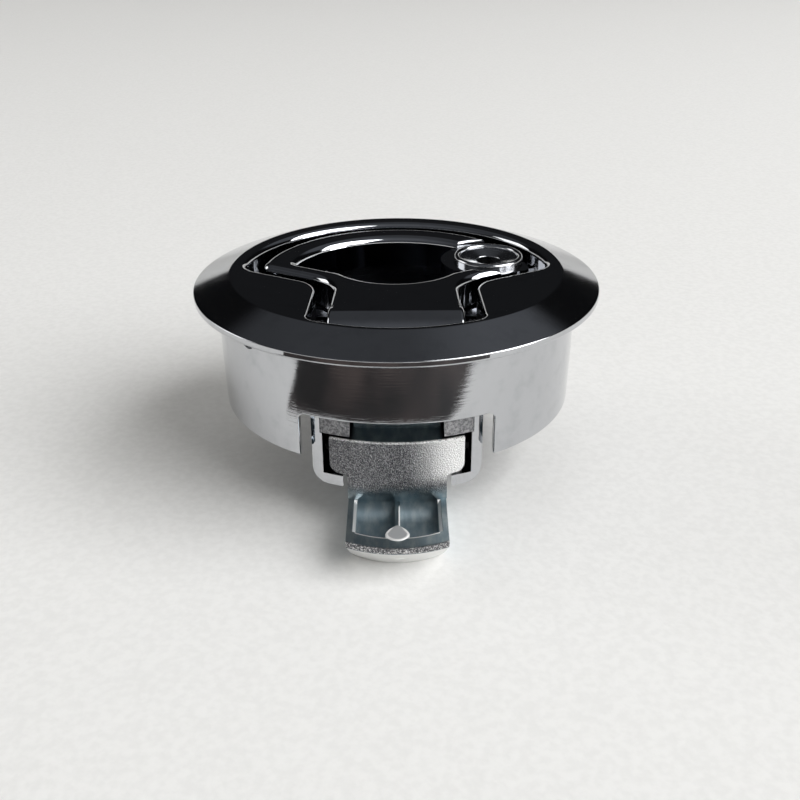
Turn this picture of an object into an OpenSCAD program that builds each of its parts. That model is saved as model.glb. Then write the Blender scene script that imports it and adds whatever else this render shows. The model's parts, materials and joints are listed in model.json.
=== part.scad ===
// Flush hatch latch: a round pull-ring slam latch that drops into a hole in a panel.
// The origin is the centre of the flange's seat on the panel.
// +Z points out of the panel, and the bolt points to -Y.

/* [Flange and body] */
// Diameter of the flange that covers the panel hole
flange_d = 60; // [58:0.5:70]
// Height of the flange's straight lip
lip_t = 1; // [0.6:0.1:1.6]
// Round on the lip's lower edge
lip_round = 0.4; // [0.2:0.1:0.5]
// Height of the face above the panel
face_h = 3; // [2.6:0.1:4]
// Diameter of the flat face inside the bevel
face_d = 49; // [48.4:0.1:54]
// Round between the face and the bevel
face_round = 0.5; // [0.2:0.1:0.8]
// Diameter of the body where it fills the panel hole
body_d = 53; // [52.6:0.1:54]
// Depth of the body below the panel's face
body_depth = 16.4; // [15:0.2:19]
// Length of the straight part of the body
register_h = 8; // [5:0.5:9]
// Amount by which the body's foot is narrower across
foot_draft = 0.4; // [0:0.1:0.8]
// Thickness of the body's wall
wall_t = 1.8; // [1.4:0.1:2]
// Thickness of the face plate
plate_t = 2.4; // [2:0.1:2.6]

/* [Recess and finger pocket] */
// Distance of the recess's rear edge from the centre
recess_rear = 21.4; // [21:0.1:22.2]
// Radius of the recess's rear arc
recess_r = 22.8; // [22:0.1:23.2]
// Angle by which the recess still widens at the end of its rear arc
recess_flare = 10; // [6:1:12]
// Round at the recess's left and right tips
tip_r = 4.2; // [4:0.1:5]
// Slope of the recess's shoulders
shoulder_a = 30; // [26:1:34]
// Width of the recess's neck at the shoulders
neck_w = 22.6; // [22:0.1:23]
// Width of the recess's neck at its front corners
front_w = 23.8; // [23.2:0.1:24.4]
// Round where the neck meets the shoulders
neck_round = 4.5; // [3.5:0.1:5.5]
// Radius of the recess's front edge
front_r = 23.5; // [23.2:0.1:23.7]
// Half angle of the recess's front arc
front_bow = 20; // [16:1:22]
// Round at the recess's front corners
corner_r = 2.4; // [1.6:0.1:2.8]
// Round on the recess's upper edge
rim_round = 0.5; // [0.2:0.1:0.8]
// Thickness of the recess's walls
cup_t = 1.5; // [1.2:0.1:1.8]
// Width of the ledge under the ring
ledge_w = 3.8; // [3.4:0.1:4]
// Depth of the finger pocket below the face
pocket_depth = 14; // [13:0.2:15]
// Thickness of the pocket's floor
floor_t = 1.6; // [1.2:0.1:2]
// Distance of the pocket's front wall in front of the centre
pocket_front = 5.6; // [5:0.1:6]

/* [Pull ring] */
// Gap between the ring and the recess
ring_gap = 2.5; // [2.2:0.1:2.7]
// Thickness of the ring
ring_t = 4.8; // [4:0.1:5.5]
// Distance of the ring's top below the face
ring_drop = 0.1; // [0:0.05:0.4]
// Round on the ring's upper edge
ring_round = 1; // [0.4:0.1:1.2]
// Round at both ends of the ring's front roll
roll_round = 0.6; // [0.2:0.1:0.7]
// Distance of the finger hole's rear edge from the centre
hole_rear = 14.3; // [13.5:0.1:15]
// Radius of the finger hole's rear arc
hole_r = 15.8; // [15:0.1:16.2]
// Angle by which the finger hole still widens at the end of its rear arc
hole_flare = 17; // [14:1:20]
// Round at the finger hole's tips
hole_tip_r = 1.5; // [1.3:0.1:2]
// Distance of the finger hole's front edge in front of the centre
hole_front = 6.6; // [6.2:0.1:7]
// Radius of the finger hole's front edge
belly_r = 9.5; // [9:0.1:9.7]
// Half angle of the finger hole's front arc
belly_bow = 52; // [50:1:54]
// Round where the finger hole's tips meet its front edge
hole_blend = 3; // [2:0.1:4]
// Round on the finger hole's upper edge
hole_round = 1.2; // [0.4:0.1:1.3]

/* [Ring boss and insert] */
// Place of the boss to the right of the centre
boss_x = 14.2; // [13.8:0.1:14.6]
// Place of the boss behind the centre
boss_y = 5.5; // [5:0.1:6]
// Diameter of the boss
boss_d = 14.6; // [13.6:0.1:15]
// Distance of the boss's top below the ring's top
boss_drop = 0.9; // [0.9:0.1:1.6]
// Diameter of the insert's rim
insert_d = 10.6; // [10:0.1:11]
// Height of the insert's rim
insert_rim_h = 0.9; // [0.6:0.1:1.2]
// Diameter of the insert's shank
insert_shank_d = 8.6; // [8.2:0.1:9]
// Depth of the insert's dish
dish_depth = 0.7; // [0.5:0.1:1.4]
// Diameter of the hole in the insert
insert_hole_d = 3.8; // [3:0.1:4.2]

/* [Hinge and lever] */
// Distance of the hinge in front of the centre
hinge_front = 17; // [16.8:0.1:17.3]
// Depth of the hinge below the panel's face
hinge_depth = 1.5; // [1.4:0.1:1.8]
// Diameter of the hinge pin
pin_d = 2.5; // [2:0.1:2.5]
// Distance from the centre to the pin's inner end
pin_right = 15; // [14.5:0.1:16]
// Diameter of the housing's bosses round the pin
pin_boss_d = 6.4; // [5.6:0.1:7]
// Angle through which the ring lifts
lift_angle = 54; // [48:1:56]
// Distance from the hinge to the middle of the lever's nose
lever_len = 10.3; // [10:0.1:10.5]
// Width of the lever
lever_w = 10.4; // [9:0.1:11]
// Thickness of the lever
lever_t = 2; // [1.6:0.1:2.2]
// Diameter of the lever's nose
nose_d = 2.6; // [2.4:0.1:2.8]

/* [Bolt guide] */
// Width of the notch in the body's front wall
notch_w = 26.4; // [25.6:0.1:28]
// Depth of the notch's upper edge below the panel's face
notch_z = 9.8; // [9.5:0.1:10.2]
// Round at the notch's upper corners
notch_r = 1; // [0.5:0.1:2]
// Width of the guide outside
guide_w = 23.6; // [23.2:0.1:24]
// Thickness of the guide's legs
leg_t = 1.5; // [1.3:0.1:1.7]
// Height of the channel inside the guide
channel_h = 7; // [6.8:0.1:7.4]
// Thickness of the guide's lips
guide_lip_t = 1.6; // [1.2:0.1:2]
// Width of the slot between the guide's lips
slot_w = 15; // [14.6:0.1:15.6]
// Round on the guide's lower edges
guide_round = 2.2; // [1:0.1:2.6]
// Distance of the guide's front behind the body's front
guide_setback = 2.3; // [2.1:0.1:2.8]
// Width of the window above the bolt
window_w = 12.8; // [12.6:0.1:13.4]
// Height of the cross-bars beside the window
bar_h = 3.6; // [3.2:0.1:4]
// Depth of the cross-bars from front to rear
bar_t = 2.5; // [2:0.1:2.8]
// Distance of the spring's seat behind the centre
seat_rear = 12; // [11:0.5:13]
// Thickness of the wall behind the spring
seat_t = 1.6; // [1.2:0.1:2.4]

/* [Bolt] */
// Width of the bolt's flange
flange_w = 18.6; // [18:0.1:19]
// Height of the bolt's flange
flange_h = 5.2; // [5:0.1:5.4]
// Round on the flange's lower corners
flange_round = 1.2; // [0.6:0.1:1.4]
// Slope of the flange's underside towards the stem
flange_slope = 0.4; // [0.2:0.1:0.6]
// Gap between the bolt's flange and the channel's top
headroom = 0.95; // [0.9:0.05:1]
// Width of the bolt's stem
stem_w = 13.8; // [13:0.1:14]
// Length of the bolt's flange and stem
bolt_len = 20.5; // [19.5:0.1:21]
// Distance of the bolt's front behind the body's front
bolt_setback = 2; // [1.8:0.1:2.2]
// Height of the step that the lever pushes
step_h = 3; // [2.8:0.1:3.1]
// Depth of the step from front to rear
step_t = 3; // [2:0.1:3.1]
// Width of the step
step_w = 12; // [11:0.1:12.2]
// Distance from the panel's face to the tongue's top
grip = 22.9; // [22.4:0.1:24]
// Thickness of the tongue
tongue_t = 5.6; // [5:0.1:6.5]
// Width of the tongue
tongue_w = 13.6; // [13:0.1:13.8]
// Amount by which the tongue's underside is narrower on each side
tongue_draft = 0.6; // [0.2:0.1:1]
// Reach of the tongue in front of the body
tongue_out = 9.5; // [9:0.1:10.5]
// Radius of the tongue's nose in plan
nose_r = 15; // [12:0.5:18]
// Height of the nose's upright edge
nose_land = 0.6; // [0.3:0.1:1]
// Slope of the slam ramp
ramp_a = 45; // [40:1:50]
// Distance of the tongue's rear end in front of the centre
tongue_rear = 12; // [10:0.5:13]
// Thickness of the walls beside the tongue's pocket
tongue_rim = 1.2; // [0.9:0.1:1.6]
// Thickness of the wall in front of the tongue's pocket
nose_rim = 3.2; // [2.4:0.1:3.6]
// Depth of the tongue's pocket
tongue_pocket = 2.8; // [2:0.1:3.2]
// Round between the pocket's floor and its rear wall
pocket_round = 2; // [1:0.1:2.4]
// Height of the scoop in the stem above the pocket
scoop_h = 2.6; // [2:0.1:3]
// Depth of the scoop into the stem
scoop_t = 1.6; // [1:0.1:2.2]
// Amount by which the scoop's top is narrower on each side
scoop_taper = 2.4; // [1.6:0.1:3]
// Width of the rib in the pocket
rib_w = 0.7; // [0.6:0.1:1.4]
// Height of the rib above the pocket's floor
rib_h = 1.2; // [0.8:0.1:1.8]
// Diameter of the round pad at the rib's end
pad_d = 3.5; // [2.6:0.1:4]
// Length of the pad's point towards the rib
pad_point = 1.5; // [0.8:0.1:2]
// Depth of the pad's top below the tongue's top
pad_drop = 0.2; // [0.1:0.1:1]
// Width of the rub ribs that guide the bolt in its channel
rub_w = 1; // [0.6:0.1:1.4]
// Distance of the rub ribs from the bolt's front and rear
rub_back = 4; // [3:0.1:6]

/* [Springs] */
// Diameter of the bolt spring outside
bolt_spring_d = 6.4; // [6:0.1:6.6]
// Diameter of the bolt spring's wire
bolt_wire_d = 0.8; // [0.6:0.05:0.9]
// Turns in the bolt spring
bolt_turns = 12; // [10:1:13]
// Depth of the spring's bore in the bolt
spring_bore = 10; // [9:0.1:11]
// Depth of the spring's middle below the bolt flange's top
spring_drop = 4.5; // [4.4:0.1:4.8]
// Length of the spigot inside the spring
spigot_len = 3.5; // [2:0.1:5]
// Diameter of the ring springs outside
ring_spring_d = 5.2; // [4.8:0.1:5.6]
// Diameter of the ring springs' wire
ring_wire_d = 0.5; // [0.4:0.05:0.55]
// Whole turns in each ring spring, besides the three quarters between its legs
ring_turns = 2; // [1:1:2]
// Distance of the spring's hook behind the hinge
hook_back = 2.5; // [2.2:0.1:2.7]
// Depth of the spring's hook in the ring's side
hook_in = 1.5; // [1:0.1:2]

/* [Panel screws] */
// Distance between the two screw holes in the housing's back
screw_spacing = 44; // [43.8:0.1:44.2]
// Diameter of the screw holes
screw_hole_d = 2.5; // [2:0.1:2.9]
// Depth of the screw holes
screw_hole_depth = 9; // [6:0.5:10]
// Diameter of the screw bosses
screw_boss_d = 5.2; // [4.8:0.1:5.6]

/* [Clearances] */
// Radial clearance of the pin in the ring
run_clear = 0.05; // [0.02:0.01:0.1]
// Radial clearance of a fixed pin or shank in its hole
fit_clear = 0.02; // [0.01:0.01:0.04]
// Gap between pieces that move past each other
move_clear = 0.3; // [0.2:0.05:0.4]
// Gap between the lever's nose and the step on the bolt
push_gap = 0.35; // [0.3:0.05:0.5]

/* [Hidden] */
$fn = 96;
// Overlap that joins solids of one piece, and overshoot of its cuts
eps = 0.1;
// Angle between the points of a round, and steps in an edge's round
arc_step = 7.5;
round_steps = 4;
// Sides of a spring's wire, and angle between its rings
wire_sides = 8;
wire_step = 18;
// Smallest distance between two points of an outline
point_gap = 0.02;

// Levels, from the face down
face_z = face_h;
plate_z = face_z - plate_t;
ring_top = face_z - ring_drop;
ring_bottom = ring_top - ring_t;
ledge_z = ring_bottom - move_clear;
pocket_z = face_z - pocket_depth;
channel_top = pocket_z - floor_t;
bar_top = channel_top + bar_h;
channel_bottom = channel_top - channel_h;
guide_bottom = channel_bottom - guide_lip_t;
bolt_top = channel_top - headroom;
flange_bottom = bolt_top - flange_h;
tongue_top = -grip;
tongue_bottom = tongue_top - tongue_t;
pocket_floor = tongue_top - tongue_pocket;
spring_z = bolt_top - spring_drop;
boss_z = ring_top - boss_drop;

// Radii and places
flange_r = flange_d / 2;
body_r = body_d / 2;
inner_r = body_r - wall_t;
guide_r = body_r - guide_setback;
hinge_y = -hinge_front;
hinge_z = -hinge_depth;
pin_r = pin_d / 2;
roll_r = ring_top - hinge_z;
bay_rear = -pocket_front - floor_t;
channel_w = guide_w - 2 * leg_t;
bolt_front_r = body_r - bolt_setback;
bolt_rear = bolt_len - bolt_front_r;
nose_y = -body_r - tongue_out;
nose_c = nose_y + nose_r;
bolt_travel = 2 * lever_len * sin(lift_angle / 2);
step_y = hinge_y - bolt_travel / 2 + nose_d / 2 + push_gap;
spring_bore_r = bolt_spring_d / 2 + move_clear;
spigot_r = bolt_spring_d / 2 - bolt_wire_d - move_clear;
spring_front = bolt_rear - spring_bore;

// Corners of the recess as [x, y, round], on the left from rear to front
recess_turn = 90 - shoulder_a + recess_flare;
recess_run = recess_r * tan(45 - recess_flare / 2);
recess_side = recess_run + tip_r * tan(recess_turn / 2);
tip_x = -recess_run - recess_side * sin(recess_flare);
tip_y = recess_rear - recess_side * cos(recess_flare);
neck_y = tip_y + (tip_x + neck_w / 2) * tan(shoulder_a);
front_tip = -front_r / cos(front_bow);
front_y = front_tip + front_w / 2 * tan(front_bow);
recess_shoulder = [[-recess_run, recess_rear, recess_r],
                   [tip_x, tip_y, tip_r],
                   [-neck_w / 2, neck_y, neck_round]];
recess_path = recess_outline(corner_r);
// The same outline with wider front corners, for what lies inside it
soft_path = recess_outline(ledge_w + 1);
ring_path = inset(soft_path, ring_gap);

// Corners of the finger hole in the same way
hole_turn = 90 - shoulder_a + hole_flare;
hole_run = hole_r * tan(45 - hole_flare / 2);
hole_side = hole_run + hole_tip_r * tan(hole_turn / 2);
hole_x = -hole_run - hole_side * sin(hole_flare);
hole_y = hole_rear - hole_side * cos(hole_flare);
belly_tip = belly_r - hole_front - belly_r / cos(belly_bow);
blend_x = (belly_tip - hole_y - hole_x * tan(shoulder_a)) / (tan(belly_bow) - tan(shoulder_a));
hole_path = rounded(both_sides([[-hole_run, hole_rear, hole_r],
                                [hole_x, hole_y, hole_tip_r],
                                [blend_x, belly_tip - blend_x * tan(belly_bow), hole_blend]],
                               [0, belly_tip, belly_r]));

// Half widths of the recess and of the ring's roll beside the hinge
bay_half = neck_w / 2 + (front_w - neck_w) / 2 * (neck_y - hinge_y) / (neck_y - front_y);
roll_half = bay_half - ring_gap;

// The ring springs' coil
coil_r = (ring_spring_d - ring_wire_d) / 2;
coil_pitch = ring_wire_d * 1.05;
coil_turn = 360 * (ring_turns + 0.75);
coil_x = roll_half + (ring_gap - coil_pitch * coil_turn / 360) / 2;

function unit(v) = v / norm(v);
function turned(p, a) = [p.x * cos(a) - p.y * sin(a), p.x * sin(a) + p.y * cos(a)];
function flat(p) = [p.x, p.y];
function mirrored(p) = [-p.x, p.y, p.z];

// A left half from rear to front, its front corner and the mirrored half back to the rear
function both_sides(half, front) =
    concat(half, [front], [for (i = [len(half) - 1:-1:0]) mirrored(half[i])]);

// The recess's outline, with a given round at its front corners
function recess_outline(r) =
    rounded(both_sides(concat(recess_shoulder, [[-front_w / 2, front_y, r]]), [0, front_tip, front_r]));

// The arc that rounds one corner of an outline
function round_corner(before, corner, after) =
    let (u = unit(flat(before) - flat(corner)),
         v = unit(flat(after) - flat(corner)),
         half = acos(u * v) / 2,
         centre = flat(corner) + unit(u + v) * corner.z / sin(half),
         start = flat(corner) + u * corner.z / tan(half) - centre,
         turn = (180 - 2 * half) * sign(cross(v, u)),
         steps = ceil(abs(turn) / arc_step))
    [for (i = [0:steps]) centre + turned(start, turn * i / steps)];

function without_doubles(path) =
    [for (i = [0:len(path) - 1])
        if (norm(path[i] - path[(i + 1) % len(path)]) > point_gap) path[i]];

// An outline of [x, y, round] corners with every corner rounded
function rounded(corners) =
    let (n = len(corners))
    without_doubles([for (i = [0:n - 1])
        each round_corner(corners[(i + n - 1) % n], corners[i], corners[(i + 1) % n])]);

// An outline moved inwards by d
function inset(path, d) =
    let (n = len(path))
    [for (i = [0:n - 1])
        let (a = unit(path[i] - path[(i + n - 1) % n]),
             b = unit(path[(i + 1) % n] - path[i]),
             side = [-a.y - b.y, a.x + b.x])
        path[i] + side * d / (1 + a * b)];

// A quarter round of radius r as [inset, z] pairs: it ends at height z, r inwards
function edge_round(r, z) =
    [for (i = [0:round_steps])
        let (a = 90 * i / round_steps)
        [r * (1 - cos(a)), z - r + r * sin(a)]];

// The same edge on a cut: it opens outwards and runs past the surface
function mouth_round(r, z) =
    concat([for (s = edge_round(r, z)) [-s.x, s.y]], [[-r, z + eps]]);

// A solid skinned over rings of points
module skin(rings) {
    n = len(rings[0]);
    last = len(rings) - 1;
    sides = [for (k = [0:last - 1], i = [0:n - 1])
        let (a = k * n + i, b = k * n + (i + 1) % n)
        each [[a, a + n, b + n], [a, b + n, b]]];
    polyhedron([for (ring = rings) each ring],
               concat([[for (i = [0:n - 1]) i]], sides, [[for (i = [n - 1:-1:0]) last * n + i]]));
}

// An outline carried up through [inset, z] pairs
module loft(path, profile) {
    skin([for (s = profile) [for (p = inset(path, s.x)) [p.x, p.y, s.y]]]);
}

// A round wire along a path that winds about an axis
module wire(path, d, axis) {
    last = len(path) - 1;
    skin([for (i = [0:last])
        let (t = unit(path[min(i + 1, last)] - path[max(i - 1, 0)]),
             u = unit(axis - t * (axis * t)),
             v = cross(t, u))
        [for (k = [0:wire_sides - 1])
            let (a = 360 * k / wire_sides)
            path[i] + (u * cos(a) + v * sin(a)) * d / 2]]);
}

module prism(path, z0, z1) {
    translate([0, 0, z0]) linear_extrude(z1 - z0) polygon(path);
}

// An outline in x and z, drawn out along Y
module along_y(path, y0, y1) {
    translate([0, y1, 0]) rotate([90, 0, 0]) linear_extrude(y1 - y0) polygon(path);
}

// An outline in y and z, drawn out along X
module along_x(path, x0, x1) {
    translate([x0, 0, 0]) rotate([90, 0, 90]) linear_extrude(x1 - x0) polygon(path);
}

module block(x0, x1, y0, y1, z0, z1) {
    translate([x0, y0, z0]) cube([x1 - x0, y1 - y0, z1 - z0]);
}

module rod_x(x0, x1, y, z, r) {
    translate([x0, y, z]) rotate([0, 90, 0]) cylinder(h = x1 - x0, r = r);
}

module rod_y(y0, y1, x, z, r) {
    translate([x, y1, z]) rotate([90, 0, 0]) cylinder(h = y1 - y0, r = r);
}

module post(x, y, z0, z1, r) {
    translate([x, y, z0]) cylinder(h = z1 - z0, r = r);
}

// Everything in front of, or behind, a plane across Y
module in_front(y) {
    block(-flange_d, flange_d, -flange_d, y, -flange_d, flange_d);
}

module behind(y) {
    block(-flange_d, flange_d, y, flange_d, -flange_d, flange_d);
}

// Flange, face plate and body wall as one turned shell
module turned_shell() {
    bevel_a = atan2(face_z - lip_t, flange_r - face_d / 2);
    crease = face_round * tan(bevel_a / 2);
    lip = [for (i = [0:round_steps])
        let (a = 90 * i / round_steps)
        [flange_r - lip_round + lip_round * cos(a), lip_round - lip_round * sin(a)]];
    foot = foot_draft / 2;
    rotate_extrude() polygon(concat(
        [[0, face_z], [face_d / 2 - crease, face_z],
         [face_d / 2 + crease * cos(bevel_a), face_z - crease * sin(bevel_a)],
         [flange_r, lip_t]],
        lip,
        [[body_r, 0], [body_r, -register_h], [body_r - foot, -body_depth],
         [inner_r - foot, -body_depth], [inner_r, -register_h],
         [inner_r, plate_z], [0, plate_z]]));
}

// Walls under the plate: the recess's cup, the finger pocket, the lever's bay and the bosses
module inner_walls() {
    prism(inset(recess_path, -cup_t), ledge_z - floor_t, plate_z + eps);
    intersection() {
        prism(inset(soft_path, ledge_w - cup_t), channel_top, ledge_z);
        behind(bay_rear);
    }
    intersection() {
        prism(inset(recess_path, -cup_t), bar_top - eps, plate_z + eps);
        in_front(bay_rear + floor_t);
    }
    rod_x(-body_r, -bay_half, hinge_y, hinge_z, pin_boss_d / 2);
    rod_x(bay_half, pin_right + cup_t, hinge_y, hinge_z, pin_boss_d / 2);
    for (side = [-1, 1])
        post(side * screw_spacing / 2, 0, -body_depth, plate_z + eps, screw_boss_d / 2);
}

// C-shaped guide under the pocket and the bay, closed behind the spring
module bolt_guide() {
    half = guide_w / 2;
    section = rounded([[half, bar_top, 0], [-half, bar_top, 0],
                       [-half, guide_bottom, guide_round], [half, guide_bottom, guide_round]]);
    intersection() {
        along_y(section, -body_r, seat_rear + seat_t);
        post(0, 0, guide_bottom - eps, bar_top + eps, guide_r);
    }
}

module guide_cut() {
    block(-channel_w / 2, channel_w / 2, -body_d, seat_rear, channel_bottom, channel_top);
    block(-slot_w / 2, slot_w / 2, -body_d, seat_rear, guide_bottom - eps, channel_bottom + eps);
}

// The space for the ring and the finger
module recess_cut() {
    loft(recess_path, concat([[0, ledge_z]], mouth_round(rim_round, face_z)));
    intersection() {
        prism(inset(soft_path, ledge_w), pocket_z, face_z);
        behind(-pocket_front);
    }
}

// The space for the lever: the full bay, and between the cross-bars the window
module bay_cut() {
    intersection() {
        prism(recess_path, bar_top, face_z);
        in_front(bay_rear);
    }
    block(-channel_w / 2, channel_w / 2, bar_t - guide_r, bay_rear, channel_top - eps, bar_top + eps);
    intersection() {
        post(0, 0, channel_top - eps, plate_z, inner_r);
        block(-window_w / 2, window_w / 2, -body_r, bay_rear, channel_top - eps, plate_z);
    }
}

module notch_cut() {
    half = notch_w / 2;
    foot = -body_depth - eps;
    difference() {
        along_y(rounded([[-half, foot, 0], [half, foot, 0],
                         [half, -notch_z, notch_r], [-half, -notch_z, notch_r]]),
                -body_r - eps, hinge_y);
        post(0, 0, foot - eps, -notch_z + eps, guide_r);
    }
}

module housing() {
    color("gainsboro") union() {
        difference() {
            union() {
                turned_shell();
                intersection() {
                    inner_walls();
                    post(0, 0, -body_depth, plate_z + 2 * eps, inner_r + eps);
                }
                bolt_guide();
            }
            recess_cut();
            bay_cut();
            guide_cut();
            notch_cut();
            rod_x(-flange_r, pin_right + fit_clear, hinge_y, hinge_z, pin_r + fit_clear);
            for (side = [-1, 1])
                post(side * screw_spacing / 2, 0, -body_depth - eps, screw_hole_depth - body_depth,
                     screw_hole_d / 2);
        }
        rod_y(seat_rear - spigot_len, seat_rear + eps, 0, spring_z, spigot_r);
    }
}

// Lever under the ring's roll, tilted forwards at rest by half of the lift
module lever() {
    translate([0, hinge_y, hinge_z]) rotate([-lift_angle / 2, 0, 0]) {
        block(-lever_w / 2, lever_w / 2, -lever_t / 2, lever_t / 2, -lever_len, 0);
        rod_x(-lever_w / 2, lever_w / 2, 0, -lever_len, nose_d / 2);
    }
}

// The ring's front end, rolled round the hinge
module front_roll() {
    edge = edge_round(roll_round, roll_half);
    right = [for (s = edge) [roll_r - s.x, s.y]];
    left = [for (i = [round_steps:-1:0]) [right[i].x, -right[i].y]];
    translate([0, hinge_y, hinge_z]) rotate([0, 90, 0])
        rotate_extrude() polygon(concat([[0, -roll_half]], left, right, [[0, roll_half]]));
}

module ring_body() {
    difference() {
        intersection() {
            loft(ring_path, concat([[0, ring_bottom]], edge_round(ring_round, ring_top)));
            behind(hinge_y);
        }
        loft(hole_path, concat([[0, ring_bottom - eps]], mouth_round(hole_round, ring_top)));
    }
    intersection() {
        post(boss_x, boss_y, ring_bottom, boss_z, boss_d / 2);
        prism(ring_path, ring_bottom - eps, ring_top);
    }
}

module pull_ring() {
    color("silver") difference() {
        union() {
            ring_body();
            front_roll();
            lever();
        }
        post(boss_x, boss_y, boss_z, ring_top + eps, boss_d / 2);
        post(boss_x, boss_y, ring_bottom - eps, ring_top, insert_shank_d / 2);
        rod_x(-body_r, body_r, hinge_y, hinge_z, pin_r + run_clear);
        for (side = [-1, 1])
            rod_x(side * roll_half - hook_in - move_clear, side * roll_half + hook_in + move_clear,
                  hinge_y + hook_back, hinge_z - coil_r, ring_wire_d / 2 + move_clear / 2);
    }
}

// Dished cup with a rounded rim that stands on the boss
module ring_insert() {
    rim_r = insert_d / 2;
    bead = insert_rim_h / 2;
    shank_r = insert_shank_d / 2 - fit_clear;
    hole_half = insert_hole_d / 2;
    rim_top = boss_z + insert_rim_h;
    rim = [for (a = [0:arc_step:180]) [rim_r - bead + bead * cos(a), rim_top - bead + bead * sin(a)]];
    color("lightgray") translate([boss_x, boss_y, 0]) rotate_extrude() polygon(concat(
        [[hole_half, ring_bottom], [shank_r, ring_bottom], [shank_r, boss_z], [rim_r, boss_z]],
        rim, [[hole_half, rim_top - dish_depth]]));
}

module hinge_pin() {
    bevel = pin_r / 4;
    left = sqrt(body_r * body_r - (hinge_y - pin_r) * (hinge_y - pin_r)) - bevel;
    len = left + pin_right;
    color("dimgray") translate([-left, hinge_y, hinge_z]) rotate([0, 90, 0]) rotate_extrude() polygon(
        [[0, 0], [pin_r - bevel, 0], [pin_r, bevel], [pin_r, len - bevel], [pin_r - bevel, len], [0, len]]);
}

// Torsion spring on the pin: a hook in the ring's side, the coil, and a leg down to the guide
module ring_spring() {
    turns = [for (a = [0:wire_step:coil_turn])
        [coil_x + coil_pitch * a / 360, hinge_y + coil_r * cos(-90 - a), hinge_z + coil_r * sin(-90 - a)]];
    hook = [coil_x, hinge_y + hook_back + ring_wire_d / 2, hinge_z - coil_r];
    leg = [turns[len(turns) - 1].x, hinge_y + coil_r, bar_top + fit_clear];
    color("slategray") {
        wire(concat([hook], turns, [leg]), ring_wire_d, [1, 0, 0]);
        rod_x(roll_half - hook_in, coil_x, hinge_y + hook_back, hinge_z - coil_r, ring_wire_d / 2);
    }
}

module ring_spring_right() {
    ring_spring();
}

module ring_spring_left() {
    mirror([1, 0, 0]) ring_spring();
}

// Nose and ramp of the tongue, turned about one centre
module tongue() {
    ramp_run = (tongue_t - nose_land) / tan(ramp_a);
    half = tongue_w / 2;
    foot = half - tongue_draft;
    intersection() {
        along_y([[-foot, tongue_bottom], [foot, tongue_bottom], [half, tongue_top], [half, tongue_top + eps],
                 [-half, tongue_top + eps], [-half, tongue_top]], nose_y - eps, 0);
        along_x([[nose_y - eps, tongue_bottom], [-tongue_rear - tongue_t / 2, tongue_bottom],
                 [-tongue_rear, tongue_top], [-tongue_rear, tongue_top + eps],
                 [-bolt_front_r + scoop_t, tongue_top + eps], [-bolt_front_r + scoop_t, tongue_top],
                 [nose_y - eps, tongue_top]], -tongue_w, tongue_w);
        union() {
            translate([0, nose_c, 0]) rotate_extrude() polygon(
                [[0, tongue_bottom], [nose_r - ramp_run, tongue_bottom], [nose_r, tongue_top - nose_land],
                 [nose_r, tongue_top + eps], [0, tongue_top + eps]]);
            behind(nose_c);
        }
    }
}

// Pocket in the tongue's top: its rear wall leans and runs up the stem as a scoop
module tongue_cut() {
    half = tongue_w / 2 - tongue_rim;
    rear = -bolt_front_r + scoop_t;
    top = tongue_top + scoop_h;
    intersection() {
        along_x(rounded([[nose_y, top, 0], [nose_y, pocket_floor, 0],
                         [rear, pocket_floor, pocket_round], [-bolt_front_r, top, 0]]), -half, half);
        along_y([[-half, pocket_floor - eps], [half, pocket_floor - eps], [half, tongue_top],
                 [half - scoop_taper, top], [scoop_taper - half, top], [-half, tongue_top]],
                nose_y, rear + eps);
        post(0, nose_c, pocket_floor - eps, top + eps, nose_r - nose_rim);
    }
}

// Thin rib on the pocket's floor, and the pointed pad that joins it to the nose's rim
module tongue_rib() {
    pad_y = nose_y + nose_rim + pad_d / 2 - move_clear;
    pad_half = 0.85 * pad_d / 2;
    pad_top = tongue_top - pad_drop;
    rear = -bolt_front_r + scoop_t + eps;
    block(-rib_w / 2, rib_w / 2, pad_y, rear, pocket_floor - eps, pocket_floor + rib_h);
    post(0, pad_y, pocket_floor - eps, pad_top, pad_d / 2);
    prism([[-pad_half, pad_y], [pad_half, pad_y], [0, pad_y + pad_d / 2 + pad_point]],
          pocket_floor - eps, pad_top);
}

// Low ribs that keep the bolt's flange straight in its channel
module rub_ribs() {
    y0 = rub_back - bolt_front_r;
    y1 = bolt_rear - rub_back;
    edge = flange_w / 2;
    for (side = [-1, 1]) {
        x = side * (edge - rub_w);
        block(x - rub_w / 2, x + rub_w / 2, y0, y1, bolt_top - eps, channel_top - move_clear);
        block(x - rub_w / 2, x + rub_w / 2, y0, y1, channel_bottom + move_clear, flange_bottom + eps);
    }
    middle = (bolt_top + flange_bottom) / 2;
    block(move_clear - channel_w / 2, channel_w / 2 - move_clear, y0, y1,
          middle - rub_w / 2, middle + rub_w / 2);
}

module bolt() {
    edge = flange_w / 2;
    stem = stem_w / 2;
    section = rounded([[edge, bolt_top, 0], [-edge, bolt_top, 0],
                       [-edge, flange_bottom, flange_round], [-stem, flange_bottom - flange_slope, 0],
                       [-stem, tongue_top - eps, 0], [stem, tongue_top - eps, 0],
                       [stem, flange_bottom - flange_slope, 0], [edge, flange_bottom, flange_round]]);
    color("darkgray") union() {
        difference() {
            union() {
                intersection() {
                    along_y(section, -body_r, bolt_rear);
                    post(0, 0, tongue_bottom, channel_top, bolt_front_r);
                }
                block(-step_w / 2, step_w / 2, step_y, step_y + step_t, bolt_top - eps, bolt_top + step_h);
                rub_ribs();
                tongue();
            }
            rod_y(spring_front, bolt_rear + eps, 0, spring_z, spring_bore_r);
            tongue_cut();
        }
        tongue_rib();
    }
}

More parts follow.
